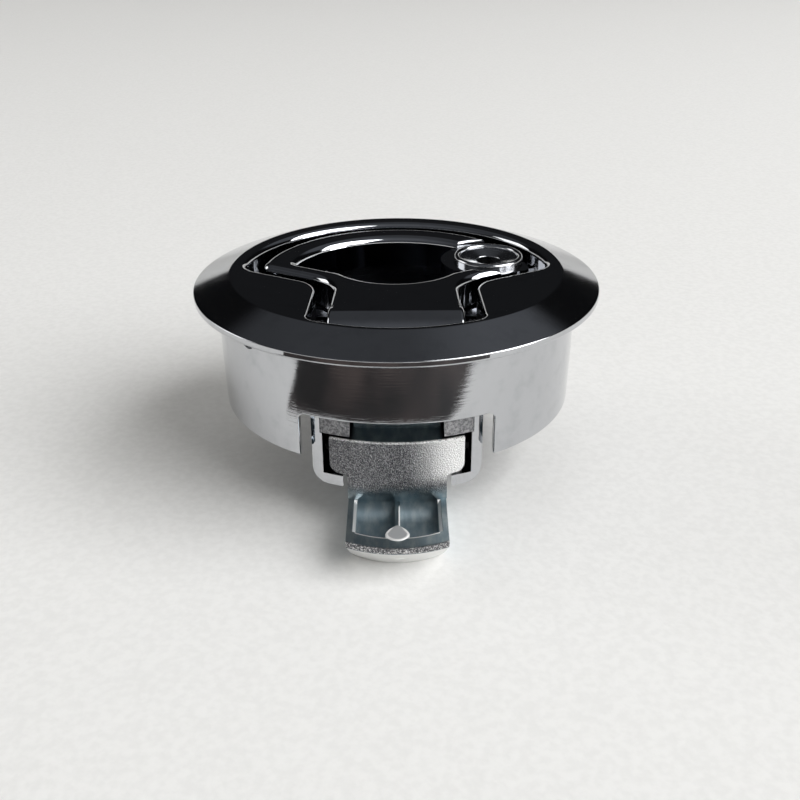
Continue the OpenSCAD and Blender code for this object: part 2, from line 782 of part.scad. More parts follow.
// Compression spring with a closed turn at each end
module bolt_spring() {
    length = seat_rear - spring_front - 2 * run_clear - bolt_wire_d;
    pitch = (length - 2 * bolt_wire_d) / (bolt_turns - 2);
    coil = (bolt_spring_d - bolt_wire_d) / 2;
    start = spring_front + run_clear + bolt_wire_d / 2;
    path = [for (a = [0:wire_step:360 * bolt_turns])
        let (t = a / 360,
             end = min(t, 1) + max(t - bolt_turns + 1, 0),
             y = start + bolt_wire_d * end + pitch * (t - end))
        [coil * cos(a), y, spring_z + coil * sin(a)]];
    color("slategray") wire(path, bolt_wire_d, [0, 1, 0]);
}

housing();
pull_ring();
ring_insert();
hinge_pin();
ring_spring_left();
ring_spring_right();
bolt();
bolt_spring();
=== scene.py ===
# %% [markdown]
# # A flush hatch latch
#
# This round chrome latch drops into a hole in a hatch. A finger lifts the pull ring, its lever draws the bolt
# back into the body, and springs push both home again. The frame below holds the pieces at their real size.
# This lesson rebuilds each piece as a fine mesh at the same place, because mirror chrome shows every flat facet.

# %% Load the frame
import json
import math

import bmesh
import bpy
import numpy as np
from mathutils import Matrix, Vector

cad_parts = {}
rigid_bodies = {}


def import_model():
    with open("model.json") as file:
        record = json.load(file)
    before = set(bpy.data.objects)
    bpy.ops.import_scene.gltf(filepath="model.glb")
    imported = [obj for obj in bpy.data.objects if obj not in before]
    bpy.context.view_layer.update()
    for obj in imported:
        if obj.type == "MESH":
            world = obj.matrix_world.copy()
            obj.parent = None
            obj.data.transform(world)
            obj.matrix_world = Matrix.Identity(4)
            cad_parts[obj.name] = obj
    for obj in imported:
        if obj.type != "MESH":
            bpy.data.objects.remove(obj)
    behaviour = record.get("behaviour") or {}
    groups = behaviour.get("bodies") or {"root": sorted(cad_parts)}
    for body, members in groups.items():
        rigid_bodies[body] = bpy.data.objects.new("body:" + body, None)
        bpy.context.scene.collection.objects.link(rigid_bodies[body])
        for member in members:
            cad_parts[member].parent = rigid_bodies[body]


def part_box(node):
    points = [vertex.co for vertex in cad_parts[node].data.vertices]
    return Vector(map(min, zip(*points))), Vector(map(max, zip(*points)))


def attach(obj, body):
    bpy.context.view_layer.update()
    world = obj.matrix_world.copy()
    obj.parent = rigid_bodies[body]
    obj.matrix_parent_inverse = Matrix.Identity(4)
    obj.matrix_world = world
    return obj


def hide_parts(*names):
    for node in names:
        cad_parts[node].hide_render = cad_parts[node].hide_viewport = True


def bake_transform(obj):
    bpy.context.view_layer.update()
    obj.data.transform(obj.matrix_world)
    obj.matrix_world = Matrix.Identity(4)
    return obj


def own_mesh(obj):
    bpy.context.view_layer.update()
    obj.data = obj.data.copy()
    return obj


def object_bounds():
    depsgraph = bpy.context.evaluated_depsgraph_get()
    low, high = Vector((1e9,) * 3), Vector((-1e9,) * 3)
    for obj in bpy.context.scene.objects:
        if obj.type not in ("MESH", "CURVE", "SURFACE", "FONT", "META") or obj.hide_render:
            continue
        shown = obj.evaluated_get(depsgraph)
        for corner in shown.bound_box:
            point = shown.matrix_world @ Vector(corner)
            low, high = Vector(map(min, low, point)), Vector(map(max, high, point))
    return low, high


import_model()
cad_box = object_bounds()
MM = 0.001     # the meshes are drawn in millimetres and become metres at the end
OVER = 0.1     # how far a cut runs past a surface, or a joined solid into its neighbour

# %% [markdown]
# ## Outlines
#
# The recess, the ring and the finger hole are all outlines with rounded corners. They could be traced as long lists
# of points, but a few corners with radii are easier to change. One function rounds a list of corners, and another
# moves an outline inwards, so the ring and the ledge under it follow from the recess.

# %% Rounded outlines
ARC_STEP = 4.0     # degrees between two points of a round
EDGE_STEPS = 6     # steps in a small round along an edge


def unit(v):
    return v / np.linalg.norm(v)


def round_corner(before, corner, after, radius, step):
    """The arc that rounds one corner of an outline."""
    if radius == 0:
        return [corner]
    u, v = unit(before - corner), unit(after - corner)
    half = math.acos(float(np.clip(u @ v, -1, 1))) / 2
    centre = corner + unit(u + v) * radius / math.sin(half)
    start = corner + u * radius / math.tan(half) - centre
    turn = (math.pi - 2 * half) * np.sign(v[0] * u[1] - v[1] * u[0])
    steps = max(1, math.ceil(math.degrees(abs(turn)) / step))
    angles = turn * np.arange(steps + 1) / steps
    return [centre + np.array([start[0] * c - start[1] * s, start[0] * s + start[1] * c])
            for c, s in zip(np.cos(angles), np.sin(angles))]


def rounded(corners, step=ARC_STEP):
    """An outline of (x, y, round) corners with every corner rounded."""
    points = [np.array(c[:2], float) for c in corners]
    path = []
    for i, corner in enumerate(corners):
        after = points[(i + 1) % len(points)]
        path += round_corner(points[i - 1], points[i], after, corner[2], step)
    return np.array([p for p, q in zip(path, path[1:] + path[:1]) if np.linalg.norm(p - q) > 0.01])


def inset(path, distance):
    """A counterclockwise outline moved inwards."""
    a = path - np.roll(path, 1, axis=0)
    b = np.roll(path, -1, axis=0) - path
    a /= np.linalg.norm(a, axis=1)[:, None]
    b /= np.linalg.norm(b, axis=1)[:, None]
    side = np.stack([-a[:, 1] - b[:, 1], a[:, 0] + b[:, 0]], axis=1)
    return path + side * (distance / (1 + (a * b).sum(axis=1)))[:, None]


def both_sides(left, front):
    """A left half from rear to front, its front corner, and the mirrored half."""
    return left + [front] + [(-x, y, r) for x, y, r in reversed(left)]


def edge_round(radius, z):
    """A quarter round as (inset, z) pairs that end at height z."""
    angles = np.linspace(0, math.pi / 2, EDGE_STEPS + 1)
    return [(radius * (1 - math.cos(a)), z - radius + radius * math.sin(a)) for a in angles]


def mouth_round(radius, z):
    """The same round on a cut, which opens outwards and runs past the surface."""
    return [(-d, h) for d, h in edge_round(radius, z)] + [(-radius, z + OVER)]


print("a rounded square has", len(rounded([(0, 0, 1), (9, 0, 1), (9, 9, 1), (0, 9, 1)])), "points")

# %% [markdown]
# ## Solids
#
# A casting is easiest to think of as solids that are joined and cut. Each helper makes one closed mesh, and the
# Boolean modifier joins or cuts a whole list of them at once.

# %% Closed solids
ROUND_STEPS = 96      # sides of a small rod or hole
LATHE_STEPS = 280     # sides of the flange and the body


def added(name, data):
    """An object in the scene."""
    obj = bpy.data.objects.new(name, data)
    bpy.context.scene.collection.objects.link(obj)
    return obj


def solid(points, faces):
    """A closed mesh in the scene, with its faces turned outwards."""
    mesh = bpy.data.meshes.new("solid")
    mesh.from_pydata([tuple(map(float, p)) for p in points], [], faces)
    shape = bmesh.new()
    shape.from_mesh(mesh)
    bmesh.ops.remove_doubles(shape, verts=shape.verts, dist=1e-5)
    bmesh.ops.recalc_face_normals(shape, faces=shape.faces)
    shape.to_mesh(mesh)
    shape.free()
    return added("solid", mesh)


def skin(rings, capped=True):
    """A solid over rings of points. Without caps, the last ring joins the first."""
    n, count = len(rings[0]), len(rings)
    faces = [(k * n + i, k * n + (i + 1) % n, (k + 1) % count * n + (i + 1) % n, (k + 1) % count * n + i)
             for k in range(count - 1 if capped else count) for i in range(n)]
    if capped:
        faces += [tuple(range(n)), tuple(range((count - 1) * n, count * n))]
    return solid(np.concatenate(rings), faces)


def placed(path, order, level):
    """Outline points as 3-D points: order says which axes the outline's two numbers and the level go to."""
    columns = {order[0]: path[:, 0], order[1]: path[:, 1], order[2]: np.full(len(path), float(level))}
    return np.stack([columns[axis] for axis in "xyz"], axis=1)


def loft(path, profile):
    """An outline carried up through (inset, z) pairs."""
    return skin([placed(inset(path, d) if d else path, "xyz", z) for d, z in profile])


def drawn(path, order, start, end):
    """An outline drawn out along the third axis of order."""
    path = np.array(path, float)
    return skin([placed(path, order, start), placed(path, order, end)])


def block(x0, x1, y0, y1, z0, z1):
    return drawn([(x0, y0), (x1, y0), (x1, y1), (x0, y1)], "xyz", z0, z1)


def circle(x, y, radius, steps=ROUND_STEPS):
    angles = np.arange(steps) * 2 * math.pi / steps
    return np.stack([x + radius * np.cos(angles), y + radius * np.sin(angles)], axis=1)


def post(x, y, z0, z1, radius, steps=ROUND_STEPS):
    return drawn(circle(x, y, radius, steps), "xyz", z0, z1)


def rod_x(x0, x1, y, z, radius, steps=ROUND_STEPS):
    return drawn(circle(y, z, radius, steps), "yzx", x0, x1)


def rod_y(y0, y1, x, z, radius):
    return drawn(circle(x, z, radius), "xzy", y0, y1)


def lathe(profile, centre=(0, 0), steps=LATHE_STEPS, order="xyz"):
    """A profile of (radius, height) points turned about an axis."""
    rings = [placed(circle(*centre, max(r, 0), steps), order, h) for r, h in profile]
    return skin(rings, capped=False)


print("lathe test:", len(lathe([(1, 0), (2, 0), (2, 1), (1, 1)], steps=8).data.polygons), "faces")

# %% Join and cut
def plain_mesh(obj):
    """The object's mesh with its modifiers applied."""
    bpy.context.view_layer.update()
    return bpy.data.meshes.new_from_object(obj.evaluated_get(bpy.context.evaluated_depsgraph_get()))


def apply_modifiers(obj):
    mesh = plain_mesh(obj)
    obj.modifiers.clear()
    obj.data = mesh
    return obj


def combine(base, operation, *tools):
    """Joins the tools to the base, or cuts them from it."""
    for tool in tools:
        change = base.modifiers.new("combine", "BOOLEAN")
        change.operation, change.solver, change.object = operation, "EXACT", tool
    apply_modifiers(base)
    for tool in tools:
        bpy.data.objects.remove(tool)
    return base


def join(base, *tools):
    return combine(base, "UNION", *tools)


def cut(base, *tools):
    return combine(base, "DIFFERENCE", *tools)


def keep(base, *tools):
    return combine(base, "INTERSECT", *tools)


for spare in [o for o in bpy.data.objects if o.name.startswith("solid")]:
    bpy.data.objects.remove(spare)
print("boolean helpers are ready")

# %% [markdown]
# ## Clean shading
#
# A cut leaves thin faces that would spoil a mirror. Edges above an angle stay sharp, chosen edges get a small
# real bevel that catches the light, and face-weighted normals keep the flat faces flat.

# %% Bevels and normals
SHARP = 32.0          # degrees: a steeper edge stays sharp
BEVEL_FROM = 40.0     # degrees: a steeper edge may get a bevel
BEVEL_STEPS = 3       # faces across a bevel
MERGE = 0.003         # points closer than this become one before a bevel


def bevel(obj, width, chosen=None, clamp=True):
    """Rounds the sharp edges whose middle, in millimetres, passes the test."""
    shape = bmesh.new()
    shape.from_mesh(obj.data)
    bmesh.ops.remove_doubles(shape, verts=shape.verts, dist=MERGE)
    weight = shape.edges.layers.float.new("bevel_weight_edge")
    count = 0
    for edge in shape.edges:
        sharp = edge.is_manifold and edge.calc_face_angle(0) > math.radians(BEVEL_FROM)
        if sharp and (chosen is None or chosen(*((edge.verts[0].co + edge.verts[1].co) / 2))):
            edge[weight] = 1.0
            count += 1
    shape.to_mesh(obj.data)
    shape.free()
    change = obj.modifiers.new("bevel", "BEVEL")
    change.limit_method, change.width, change.segments = "WEIGHT", width, BEVEL_STEPS
    change.use_clamp_overlap = clamp
    apply_modifiers(obj)
    return count


def dress(obj, name, node, body):
    """Shades a piece, turns it into metres and puts it in the frame in place of its node."""
    mesh = obj.data
    mesh.shade_smooth()
    mesh.set_sharp_from_angle(angle=math.radians(SHARP))
    change = obj.modifiers.new("normals", "WEIGHTED_NORMAL")
    change.keep_sharp, change.weight = True, 100
    apply_modifiers(obj)
    obj.data.transform(Matrix.Scale(MM, 4))
    obj.name = obj.data.name = name
    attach(obj, body)
    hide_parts(node)
    print(name, "has", len(obj.data.polygons), "faces")
    return obj


print("edges above", SHARP, "degrees stay sharp")

# %% [markdown]
# ## The recess
#
# The recess is shaped like an omega: a wide round rear for the pull, shoulders, and a neck for the hinge. It is
# the driving outline of the whole top. The ring is the same outline, one gap smaller.

# %% Recess and ring outlines
low, high = (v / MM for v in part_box("housing"))
flange_r, face_z, guide_bottom = high.x, high.z, low.z
recess_rear, recess_r, recess_flare = 21.4, 22.8, 10
tip_r, shoulder_a = 4.2, 30
neck_w, front_w, neck_round = 22.6, 23.8, 4.5
front_r, front_bow, corner_r = 23.5, 20, 2.4
ring_gap, ledge_w, cup_t = 2.5, 3.8, 1.5


def tan(degrees):
    return math.tan(math.radians(degrees))


def tip_of(rear, radius, flare, round_r):
    """Where the rear arc's flared end meets the shoulder, and the run of the rear arc."""
    run = radius * tan(45 - flare / 2)
    side = run + round_r * tan((90 - shoulder_a + flare) / 2)
    return run, -run - side * math.sin(math.radians(flare)), rear - side * math.cos(math.radians(flare))


recess_run, tip_x, tip_y = tip_of(recess_rear, recess_r, recess_flare, tip_r)
neck_y = tip_y + (tip_x + neck_w / 2) * tan(shoulder_a)
front_tip = -front_r / math.cos(math.radians(front_bow))
front_y = front_tip + front_w / 2 * tan(front_bow)


def recess_outline(corner):
    left = [(-recess_run, recess_rear, recess_r), (tip_x, tip_y, tip_r), (-neck_w / 2, neck_y, neck_round),
            (-front_w / 2, front_y, corner)]
    return rounded(both_sides(left, (0, front_tip, front_r)))


recess_path = recess_outline(corner_r)
soft_path = recess_outline(ledge_w + 1)
ring_path = inset(soft_path, ring_gap)
print("recess:", np.ptp(recess_path, axis=0).round(1), "mm, ring:", np.ptp(ring_path, axis=0).round(1), "mm")

# %% [markdown]
# ## Housing
#
# The real housing is one zinc casting: a turned flange and body, with walls under the face for the recess, the
# finger pocket and the lever's bay, and a C-shaped guide for the bolt. It is built the way it is described: a
# lathe profile first, walls joined under it, and the spaces cut out. The flange's edge, the face's crease and
# the recess's rim are rounds in the profiles, so they need no bevel.

# %% Housing: sizes
lip_t, lip_round, lip_edge = 1.0, 0.4, 0.2
face_r, face_round = 24.5, 0.5
body_r, body_depth, register_h, foot_in, foot_round = 26.5, 16.4, 8.0, 0.2, 0.35
inner_r, plate_z = body_r - 1.8, face_z - 2.4
floor_t, pocket_front = 1.6, 5.6
ring_top = face_z - 0.1
ring_bottom = ring_top - 4.8
ledge_z = ring_bottom - 0.3
pocket_z = face_z - 14
channel_top = pocket_z - floor_t
channel_bottom = channel_top - 7.0
bar_top = channel_top + 3.6
bay_rear = -pocket_front - floor_t
hinge_y, hinge_z = -17.0, -1.5
bay_half = neck_w / 2 + (front_w - neck_w) / 2 * (neck_y - hinge_y) / (neck_y - front_y)
pin_r, pin_right, pin_boss_r = 1.25, 15.0, 3.2
screw_x, screw_r, screw_boss_r, screw_depth = 22.0, 1.25, 2.6, 9.0
guide_w, leg_t, slot_w, guide_round, guide_r = 23.6, 1.5, 15.0, 2.2, body_r - 2.3
channel_w = guide_w - 2 * leg_t
notch_w, notch_z, notch_r = 26.4, -9.8, 1.0
window_w, bar_t = 12.8, 2.5
seat_y, seat_t, spring_z = 12.0, 1.6, channel_top - 0.95 - 4.5
spigot_r, spigot_len = 2.1, 3.5     # the spring sits round a short spigot
FAR = 80.0     # beyond every part of the latch
print("housing depth:", round(face_z - guide_bottom, 1), "mm")

# %% Housing: the turned shell
shell_profile = rounded([
    (0, face_z, 0), (face_r, face_z, face_round * 3), (flange_r, lip_t, lip_edge), (flange_r, 0, lip_round),
    (body_r, 0, 0.15), (body_r, -register_h, 0), (body_r - foot_in, -body_depth, foot_round),
    (inner_r - foot_in, -body_depth, foot_round), (inner_r, -register_h, 0), (inner_r, plate_z, 0),
    (0, plate_z, 0)], step=12)
housing = lathe(shell_profile)
print("shell:", len(housing.data.polygons), "faces from", len(shell_profile), "profile points")


# %% Housing: the walls under the face
def ahead_of(y):
    return block(-FAR, FAR, -FAR, y, -FAR, FAR)


def behind(y):
    return block(-FAR, FAR, y, FAR, -FAR, FAR)


def prism(path, z0, z1):
    return drawn(path, "xyz", z0, z1)


cup = prism(inset(recess_path, -cup_t), ledge_z - floor_t, plate_z + OVER)
pocket_wall = keep(prism(inset(soft_path, ledge_w - cup_t), channel_top, ledge_z), behind(bay_rear))
bay_wall = keep(prism(inset(recess_path, -cup_t), bar_top - OVER, plate_z + OVER), ahead_of(bay_rear + floor_t))
pin_bosses = [rod_x(-body_r, -bay_half, hinge_y, hinge_z, pin_boss_r),
              rod_x(bay_half, pin_right + cup_t, hinge_y, hinge_z, pin_boss_r)]
screw_bosses = [post(side * screw_x, 0, -body_depth, plate_z + OVER, screw_boss_r) for side in (-1, 1)]
walls = join(cup, pocket_wall, bay_wall, *pin_bosses, *screw_bosses)
keep(walls, post(0, 0, -body_depth + 0.01, plate_z + 2 * OVER, inner_r + OVER, LATHE_STEPS))
print("walls:", len(walls.data.polygons), "faces")

# %% Housing: the bolt's guide
guide_section = rounded([(guide_w / 2, bar_top, 0), (-guide_w / 2, bar_top, 0),
                         (-guide_w / 2, guide_bottom, guide_round), (guide_w / 2, guide_bottom, guide_round)])
guide = drawn(guide_section, "xzy", -body_r, seat_y + seat_t)
keep(guide, post(0, 0, guide_bottom - OVER, bar_top + OVER, guide_r, LATHE_STEPS))
join(housing, walls, guide)
print("housing before its cuts:", len(housing.data.polygons), "faces")

# %% Housing: the recess, the pocket and the lever's bay
RIM_FRONT, RIM_REAR = 0.45, 0.95     # the rim is softer at the rear, where it faces the hand
share = np.clip((recess_path[:, 1] - front_y) / (tip_y - front_y), 0, 1)
rim = RIM_FRONT + (RIM_REAR - RIM_FRONT) * share
outward = recess_path - inset(recess_path, 1)
rings = [placed(recess_path, "xyz", ledge_z)]
for a in np.linspace(0, math.pi / 2, 2 * EDGE_STEPS + 1):
    ring = placed(recess_path + outward * (rim * (1 - math.cos(a)))[:, None], "xyz", face_z)
    ring[:, 2] -= rim * (1 - math.sin(a))
    rings.append(ring)
recess = skin(rings + [rings[-1] + np.array([0, 0, OVER])])
pocket = keep(prism(inset(soft_path, ledge_w), pocket_z, face_z), behind(-pocket_front))
bay = keep(prism(recess_path, bar_top, face_z - RIM_REAR), ahead_of(bay_rear))
bay_floor = block(-channel_w / 2, channel_w / 2, bar_t - guide_r, bay_rear, channel_top - OVER, bar_top + OVER)
window = keep(post(0, 0, channel_top - OVER, plate_z, inner_r, LATHE_STEPS),
              block(-window_w / 2, window_w / 2, -body_r, bay_rear, channel_top - OVER, plate_z))
cut(housing, recess, pocket, bay, bay_floor, window)
print("housing with its recess:", len(housing.data.polygons), "faces")

# %% Housing: the channel, the notch and the holes
channel = block(-channel_w / 2, channel_w / 2, -FAR, seat_y, channel_bottom, channel_top)
lip_slot = block(-slot_w / 2, slot_w / 2, -FAR, seat_y, guide_bottom - OVER, channel_bottom + OVER)
foot_z = -body_depth - OVER
notch = drawn(rounded([(-notch_w / 2, foot_z, 0), (notch_w / 2, foot_z, 0),
                       (notch_w / 2, notch_z, notch_r), (-notch_w / 2, notch_z, notch_r)]),
              "xzy", -body_r - OVER, hinge_y)
cut(notch, post(0, 0, foot_z - OVER, notch_z + OVER, guide_r + 0.03, LATHE_STEPS))
pin_bore = rod_x(-flange_r, pin_right, hinge_y, hinge_z, pin_r + 0.02)
screw_holes = [post(side * screw_x, 0, -body_depth - OVER, screw_depth - body_depth, screw_r) for side in (-1, 1)]
cut(housing, channel, lip_slot, notch, pin_bore, *screw_holes)

BAR_LIP = 0.65     # the bars beside the window hang a little lower than the channel's roof
lips = [keep(block(*sorted((side * (window_w / 2 + 0.05), side * (channel_w / 2 + OVER))), -body_r,
                   bar_t - guide_r - 0.05, channel_top - BAR_LIP, channel_top + OVER),
             post(0, 0, channel_bottom, bar_top, guide_r - 0.03, LATHE_STEPS)) for side in (-1, 1)]
join(housing, rod_y(seat_y - spigot_len, seat_y + OVER, 0, spring_z, spigot_r), *lips)
print("housing cut:", len(housing.data.polygons), "faces")

# %% Housing: bevel and frame
NOTCH_EDGE = 0.3


def on_notch(x, y, z):
    return math.hypot(x, y) > body_r - 0.6 and z < notch_z + 1 and y < hinge_y


print("notch edges:", bevel(housing, NOTCH_EDGE, on_notch, clamp=False))
dress(housing, "housing_casting", "housing", "housing_body")

# %% [markdown]
# ## Pull ring
#
# The pull is a chrome casting too. Its outline is the recess's, one gap smaller, with a big soft round on its
# top edge and an even softer one round the finger hole. Its front end is rolled round the hinge pin, and the
# lever that works the bolt hangs from the roll.

# %% Pull ring: the finger hole
hole_rear, hole_r, hole_flare, hole_tip_r = 14.3, 15.8, 17, 1.5
hole_front, belly_r, belly_bow, hole_blend, hole_round = 6.6, 9.5, 52, 3.0, 1.2
hole_run, hole_x, hole_y = tip_of(hole_rear, hole_r, hole_flare, hole_tip_r)
belly_tip = belly_r - hole_front - belly_r / math.cos(math.radians(belly_bow))
blend_x = (belly_tip - hole_y - hole_x * tan(shoulder_a)) / (tan(belly_bow) - tan(shoulder_a))
hole_path = rounded(both_sides([(-hole_run, hole_rear, hole_r), (hole_x, hole_y, hole_tip_r),
                                (blend_x, belly_tip - blend_x * tan(belly_bow), hole_blend)],
                               (0, belly_tip, belly_r)))
print("finger hole:", np.ptp(hole_path, axis=0).round(1), "mm")

# %% Pull ring: body, roll and lever
ring_round, roll_round, foot_edge = 1.0, 0.6, 0.4
boss_x, boss_y, boss_r, boss_z = 14.2, 5.5, 7.3, ring_top - 0.9
roll_half, roll_r = bay_half - ring_gap, ring_top - hinge_z
lift_a, lever_len, lever_half, lever_t, nose_r = 54, 10.3, 5.2, 2.0, 1.3
lean = Matrix.Translation((0, hinge_y, hinge_z)) @ Matrix.Rotation(math.radians(-lift_a / 2), 4, "X")

pull = loft(ring_path, [(foot_edge, ring_bottom), (0, ring_bottom + foot_edge)] + edge_round(ring_round, ring_top))
keep(pull, behind(hinge_y))
cut(pull, loft(hole_path, [(0, ring_bottom - OVER)] + mouth_round(hole_round, ring_top)))
boss = keep(post(boss_x, boss_y, ring_bottom, boss_z + OVER, boss_r), prism(ring_path, ring_bottom - OVER, ring_top))
roll_ends = [(roll_r - d, h) for d, h in edge_round(roll_round, roll_half)]
roll = lathe([(0, -roll_half)] + [(r, -h) for r, h in reversed(roll_ends)] + roll_ends + [(0, roll_half)],
             (hinge_y, hinge_z), ROUND_STEPS * 2, "yzx")
lever_side = rounded([(-lever_t / 2, 0, 0), (-nose_r, -lever_len - nose_r, nose_r * 0.95),
                      (nose_r, -lever_len - nose_r, nose_r * 0.95), (lever_t / 2, 0, 0)])
lever_end = edge_round(0.3, lever_half)
lever_end = [(d, -x) for d, x in reversed(lever_end)] + lever_end
lever = skin([placed(inset(lever_side, d), "yzx", x) for d, x in lever_end])
lever.data.transform(lean)
join(pull, boss, roll, lever)
print("pull ring joined:", len(pull.data.polygons), "faces")

# %% Pull ring: boss, bore and hooks
insert_hole_r, hook_y, hook_r, hook_depth, coil_r = 4.3, 2.5, 0.4, 1.8, 2.35
BOSS_EDGE = 0.5     # the round where the ring steps down to its boss
cut(pull, loft(circle(boss_x, boss_y, boss_r + 0.01), [(0, boss_z)] + mouth_round(BOSS_EDGE, ring_top)),
    post(boss_x, boss_y, ring_bottom - OVER, ring_top, insert_hole_r),
    rod_x(-body_r, body_r, hinge_y, hinge_z, pin_r + 0.05, 70),
    *[rod_x(side * roll_half - hook_depth, side * roll_half + hook_depth, hinge_y + hook_y, hinge_z - coil_r, hook_r)
      for side in (-1, 1)])
dress(pull, "pull_ring_casting", "pull_ring", "ring_body")

# %% [markdown]
# ## Insert and pin
#
# The insert is a turned cup with a rounded rim, pressed into the ring's boss. The hinge pin is a plain dowel. Both
# come off a lathe, so each is one profile turned about its axis.

# %% Insert and hinge pin
insert_r, rim_h, dish_depth, cup_hole_r = 5.3, 0.9, 1.0, 1.9
rim_top, bead = boss_z + rim_h, rim_h / 2
rim = [(insert_r - bead + bead * math.cos(a), rim_top - bead + bead * math.sin(a))
       for a in np.linspace(0, math.pi, 25)]
dish = rounded([(insert_r - 2 * bead, rim_top - bead, 0), (cup_hole_r, rim_top - dish_depth, 0.15),
                (cup_hole_r, ring_bottom, 0), (insert_r, ring_bottom, 0)], step=8)
insert = lathe([(insert_hole_r - 0.02, ring_bottom), (insert_hole_r - 0.02, boss_z), (insert_r, boss_z)]
               + rim + [tuple(p) for p in dish[1:-1]], (boss_x, boss_y), ROUND_STEPS * 2)
dress(insert, "insert_cup", "ring_insert", "ring_body")

pin_bevel = pin_r / 4
pin_left = -math.sqrt(body_r ** 2 - (hinge_y - pin_r) ** 2) + pin_bevel
pin = lathe([(0, pin_left), (pin_r - pin_bevel, pin_left), (pin_r, pin_left + pin_bevel),
             (pin_r, pin_right - pin_bevel), (pin_r - pin_bevel, pin_right), (0, pin_right)],
            (hinge_y, hinge_z), ROUND_STEPS, "yzx")
dress(pin, "hinge_dowel", "hinge_pin", "housing_body")

# %% [markdown]
# ## Bolt
#
# The bolt is a rough zinc casting. Its T-shaped part slides in the guide, and its stem carries a tongue with a
# slam ramp below and a pocket above. The pocket's rear wall leans back into the stem as a scoop. The T is one section
# drawn along the guide, and the tongue is what three simple solids have in common: its section, its side view and
# its round nose. Edges are bevelled last, because a bevelled mesh is hard to cut.

# %% Bolt: sizes
bolt_top = channel_top - 0.95
flange_w, flange_h, flange_round, flange_slope = 18.6, 5.2, 1.2, 0.4
flange_bottom = bolt_top - flange_h
stem_w, bolt_front_r, bolt_rear = 13.8, body_r - 2.0, -4.0
tongue_top, tongue_w, tongue_draft, tongue_rear = -22.9, 13.6, 0.6, -12.0
tongue_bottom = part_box("bolt")[0].z / MM
nose_y, nose_r_plan, nose_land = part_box("bolt")[0].y / MM, 15.0, 0.6
tongue_t = tongue_top - tongue_bottom
nose_c, ramp_run = nose_y + nose_r_plan, tongue_t - nose_land
pocket_floor, pocket_round, scoop_h, scoop_t, scoop_taper = tongue_top - 2.8, 2.0, 2.6, 1.6, 2.4
pocket_half, nose_rim = tongue_w / 2 - 1.2, 3.2
bowl_r = nose_r_plan - nose_rim     # the pocket's front wall follows the nose
step_y, step_half, step_t, step_h = -20.026, 6.0, 3.0, 3.0
bore_r, bore_end = 3.5, bolt_rear - 10
print("tongue:", round(tongue_t, 1), "mm thick, nose at y", round(nose_y, 1))

# %% Bolt: the T and the tongue
half, stem = flange_w / 2, stem_w / 2
section = rounded([(half, bolt_top, 0.3), (-half, bolt_top, 0.3), (-half, flange_bottom, flange_round),
                   (-stem, flange_bottom - flange_slope, 0.4), (-stem, tongue_top - OVER, 0),
                   (stem, tongue_top - OVER, 0), (stem, flange_bottom - flange_slope, 0.4),
                   (half, flange_bottom, flange_round)], step=10)
bolt = keep(drawn(section, "xzy", -body_r, bolt_rear),
            post(0, 0, tongue_bottom, channel_top, bolt_front_r, LATHE_STEPS))

tongue = drawn([(-tongue_w / 2 + tongue_draft, tongue_bottom), (tongue_w / 2 - tongue_draft, tongue_bottom),
                (tongue_w / 2, tongue_top), (-tongue_w / 2, tongue_top)], "xzy", nose_y - OVER, 0)
side_view = drawn([(nose_y - OVER, tongue_bottom - OVER), (tongue_rear - tongue_t / 2, tongue_bottom - OVER),
                   (tongue_rear, tongue_top + OVER), (nose_y - OVER, tongue_top + OVER)], "yzx", -FAR, FAR)
nose = join(lathe([(0, tongue_bottom), (nose_r_plan - ramp_run, tongue_bottom),
                   (nose_r_plan, tongue_top - nose_land), (nose_r_plan, tongue_top + OVER), (0, tongue_top + OVER)],
                  (0, nose_c)), behind(nose_c))
keep(tongue, side_view, nose)
join(bolt, tongue, block(-step_half, step_half, step_y, step_y + step_t, bolt_top - OVER, bolt_top + step_h))
print("bolt body:", len(bolt.data.polygons), "faces")

# %% Bolt: pocket, rib and spring bore
RUB_W, MOVE = 1.0, 0.3                 # rubbing strips and their room in the guide
POCKET_EDGE, BOLT_EDGE = 0.45, 0.15     # the chamfer of the pocket's mouth, and every other edge
rear, top = -bolt_front_r + scoop_t, tongue_top + scoop_h
scoop = drawn(rounded([(nose_y, top, 0), (nose_y, pocket_floor, 0), (rear, pocket_floor, pocket_round),
                       (-bolt_front_r, top, 0)]), "yzx", -pocket_half, pocket_half)
keep(scoop, drawn([(-pocket_half, pocket_floor - OVER), (pocket_half, pocket_floor - OVER), (pocket_half, tongue_top),
                   (pocket_half - scoop_taper, top), (scoop_taper - pocket_half, top), (-pocket_half, tongue_top)],
                  "xzy", nose_y, rear + OVER),
     post(0, nose_c, pocket_floor - OVER, top + OVER, bowl_r, LATHE_STEPS))
corner = math.acos(pocket_half / bowl_r)
mouth_rear = 0.25 - bolt_front_r     # just ahead of the scoop's wall
mouth = [(pocket_half, mouth_rear), (-pocket_half, mouth_rear)]
mouth += [(bowl_r * math.cos(a), nose_c + bowl_r * math.sin(a))
          for a in np.linspace(math.pi + corner, 2 * math.pi - corner, 40)]
chamfer = loft(np.array(mouth), [(0, tongue_top - POCKET_EDGE), (-POCKET_EDGE, tongue_top),
                                 (-POCKET_EDGE, tongue_top + OVER)])
cut(bolt, rod_y(bore_end, bolt_rear + OVER, 0, spring_z, bore_r), scoop, chamfer)

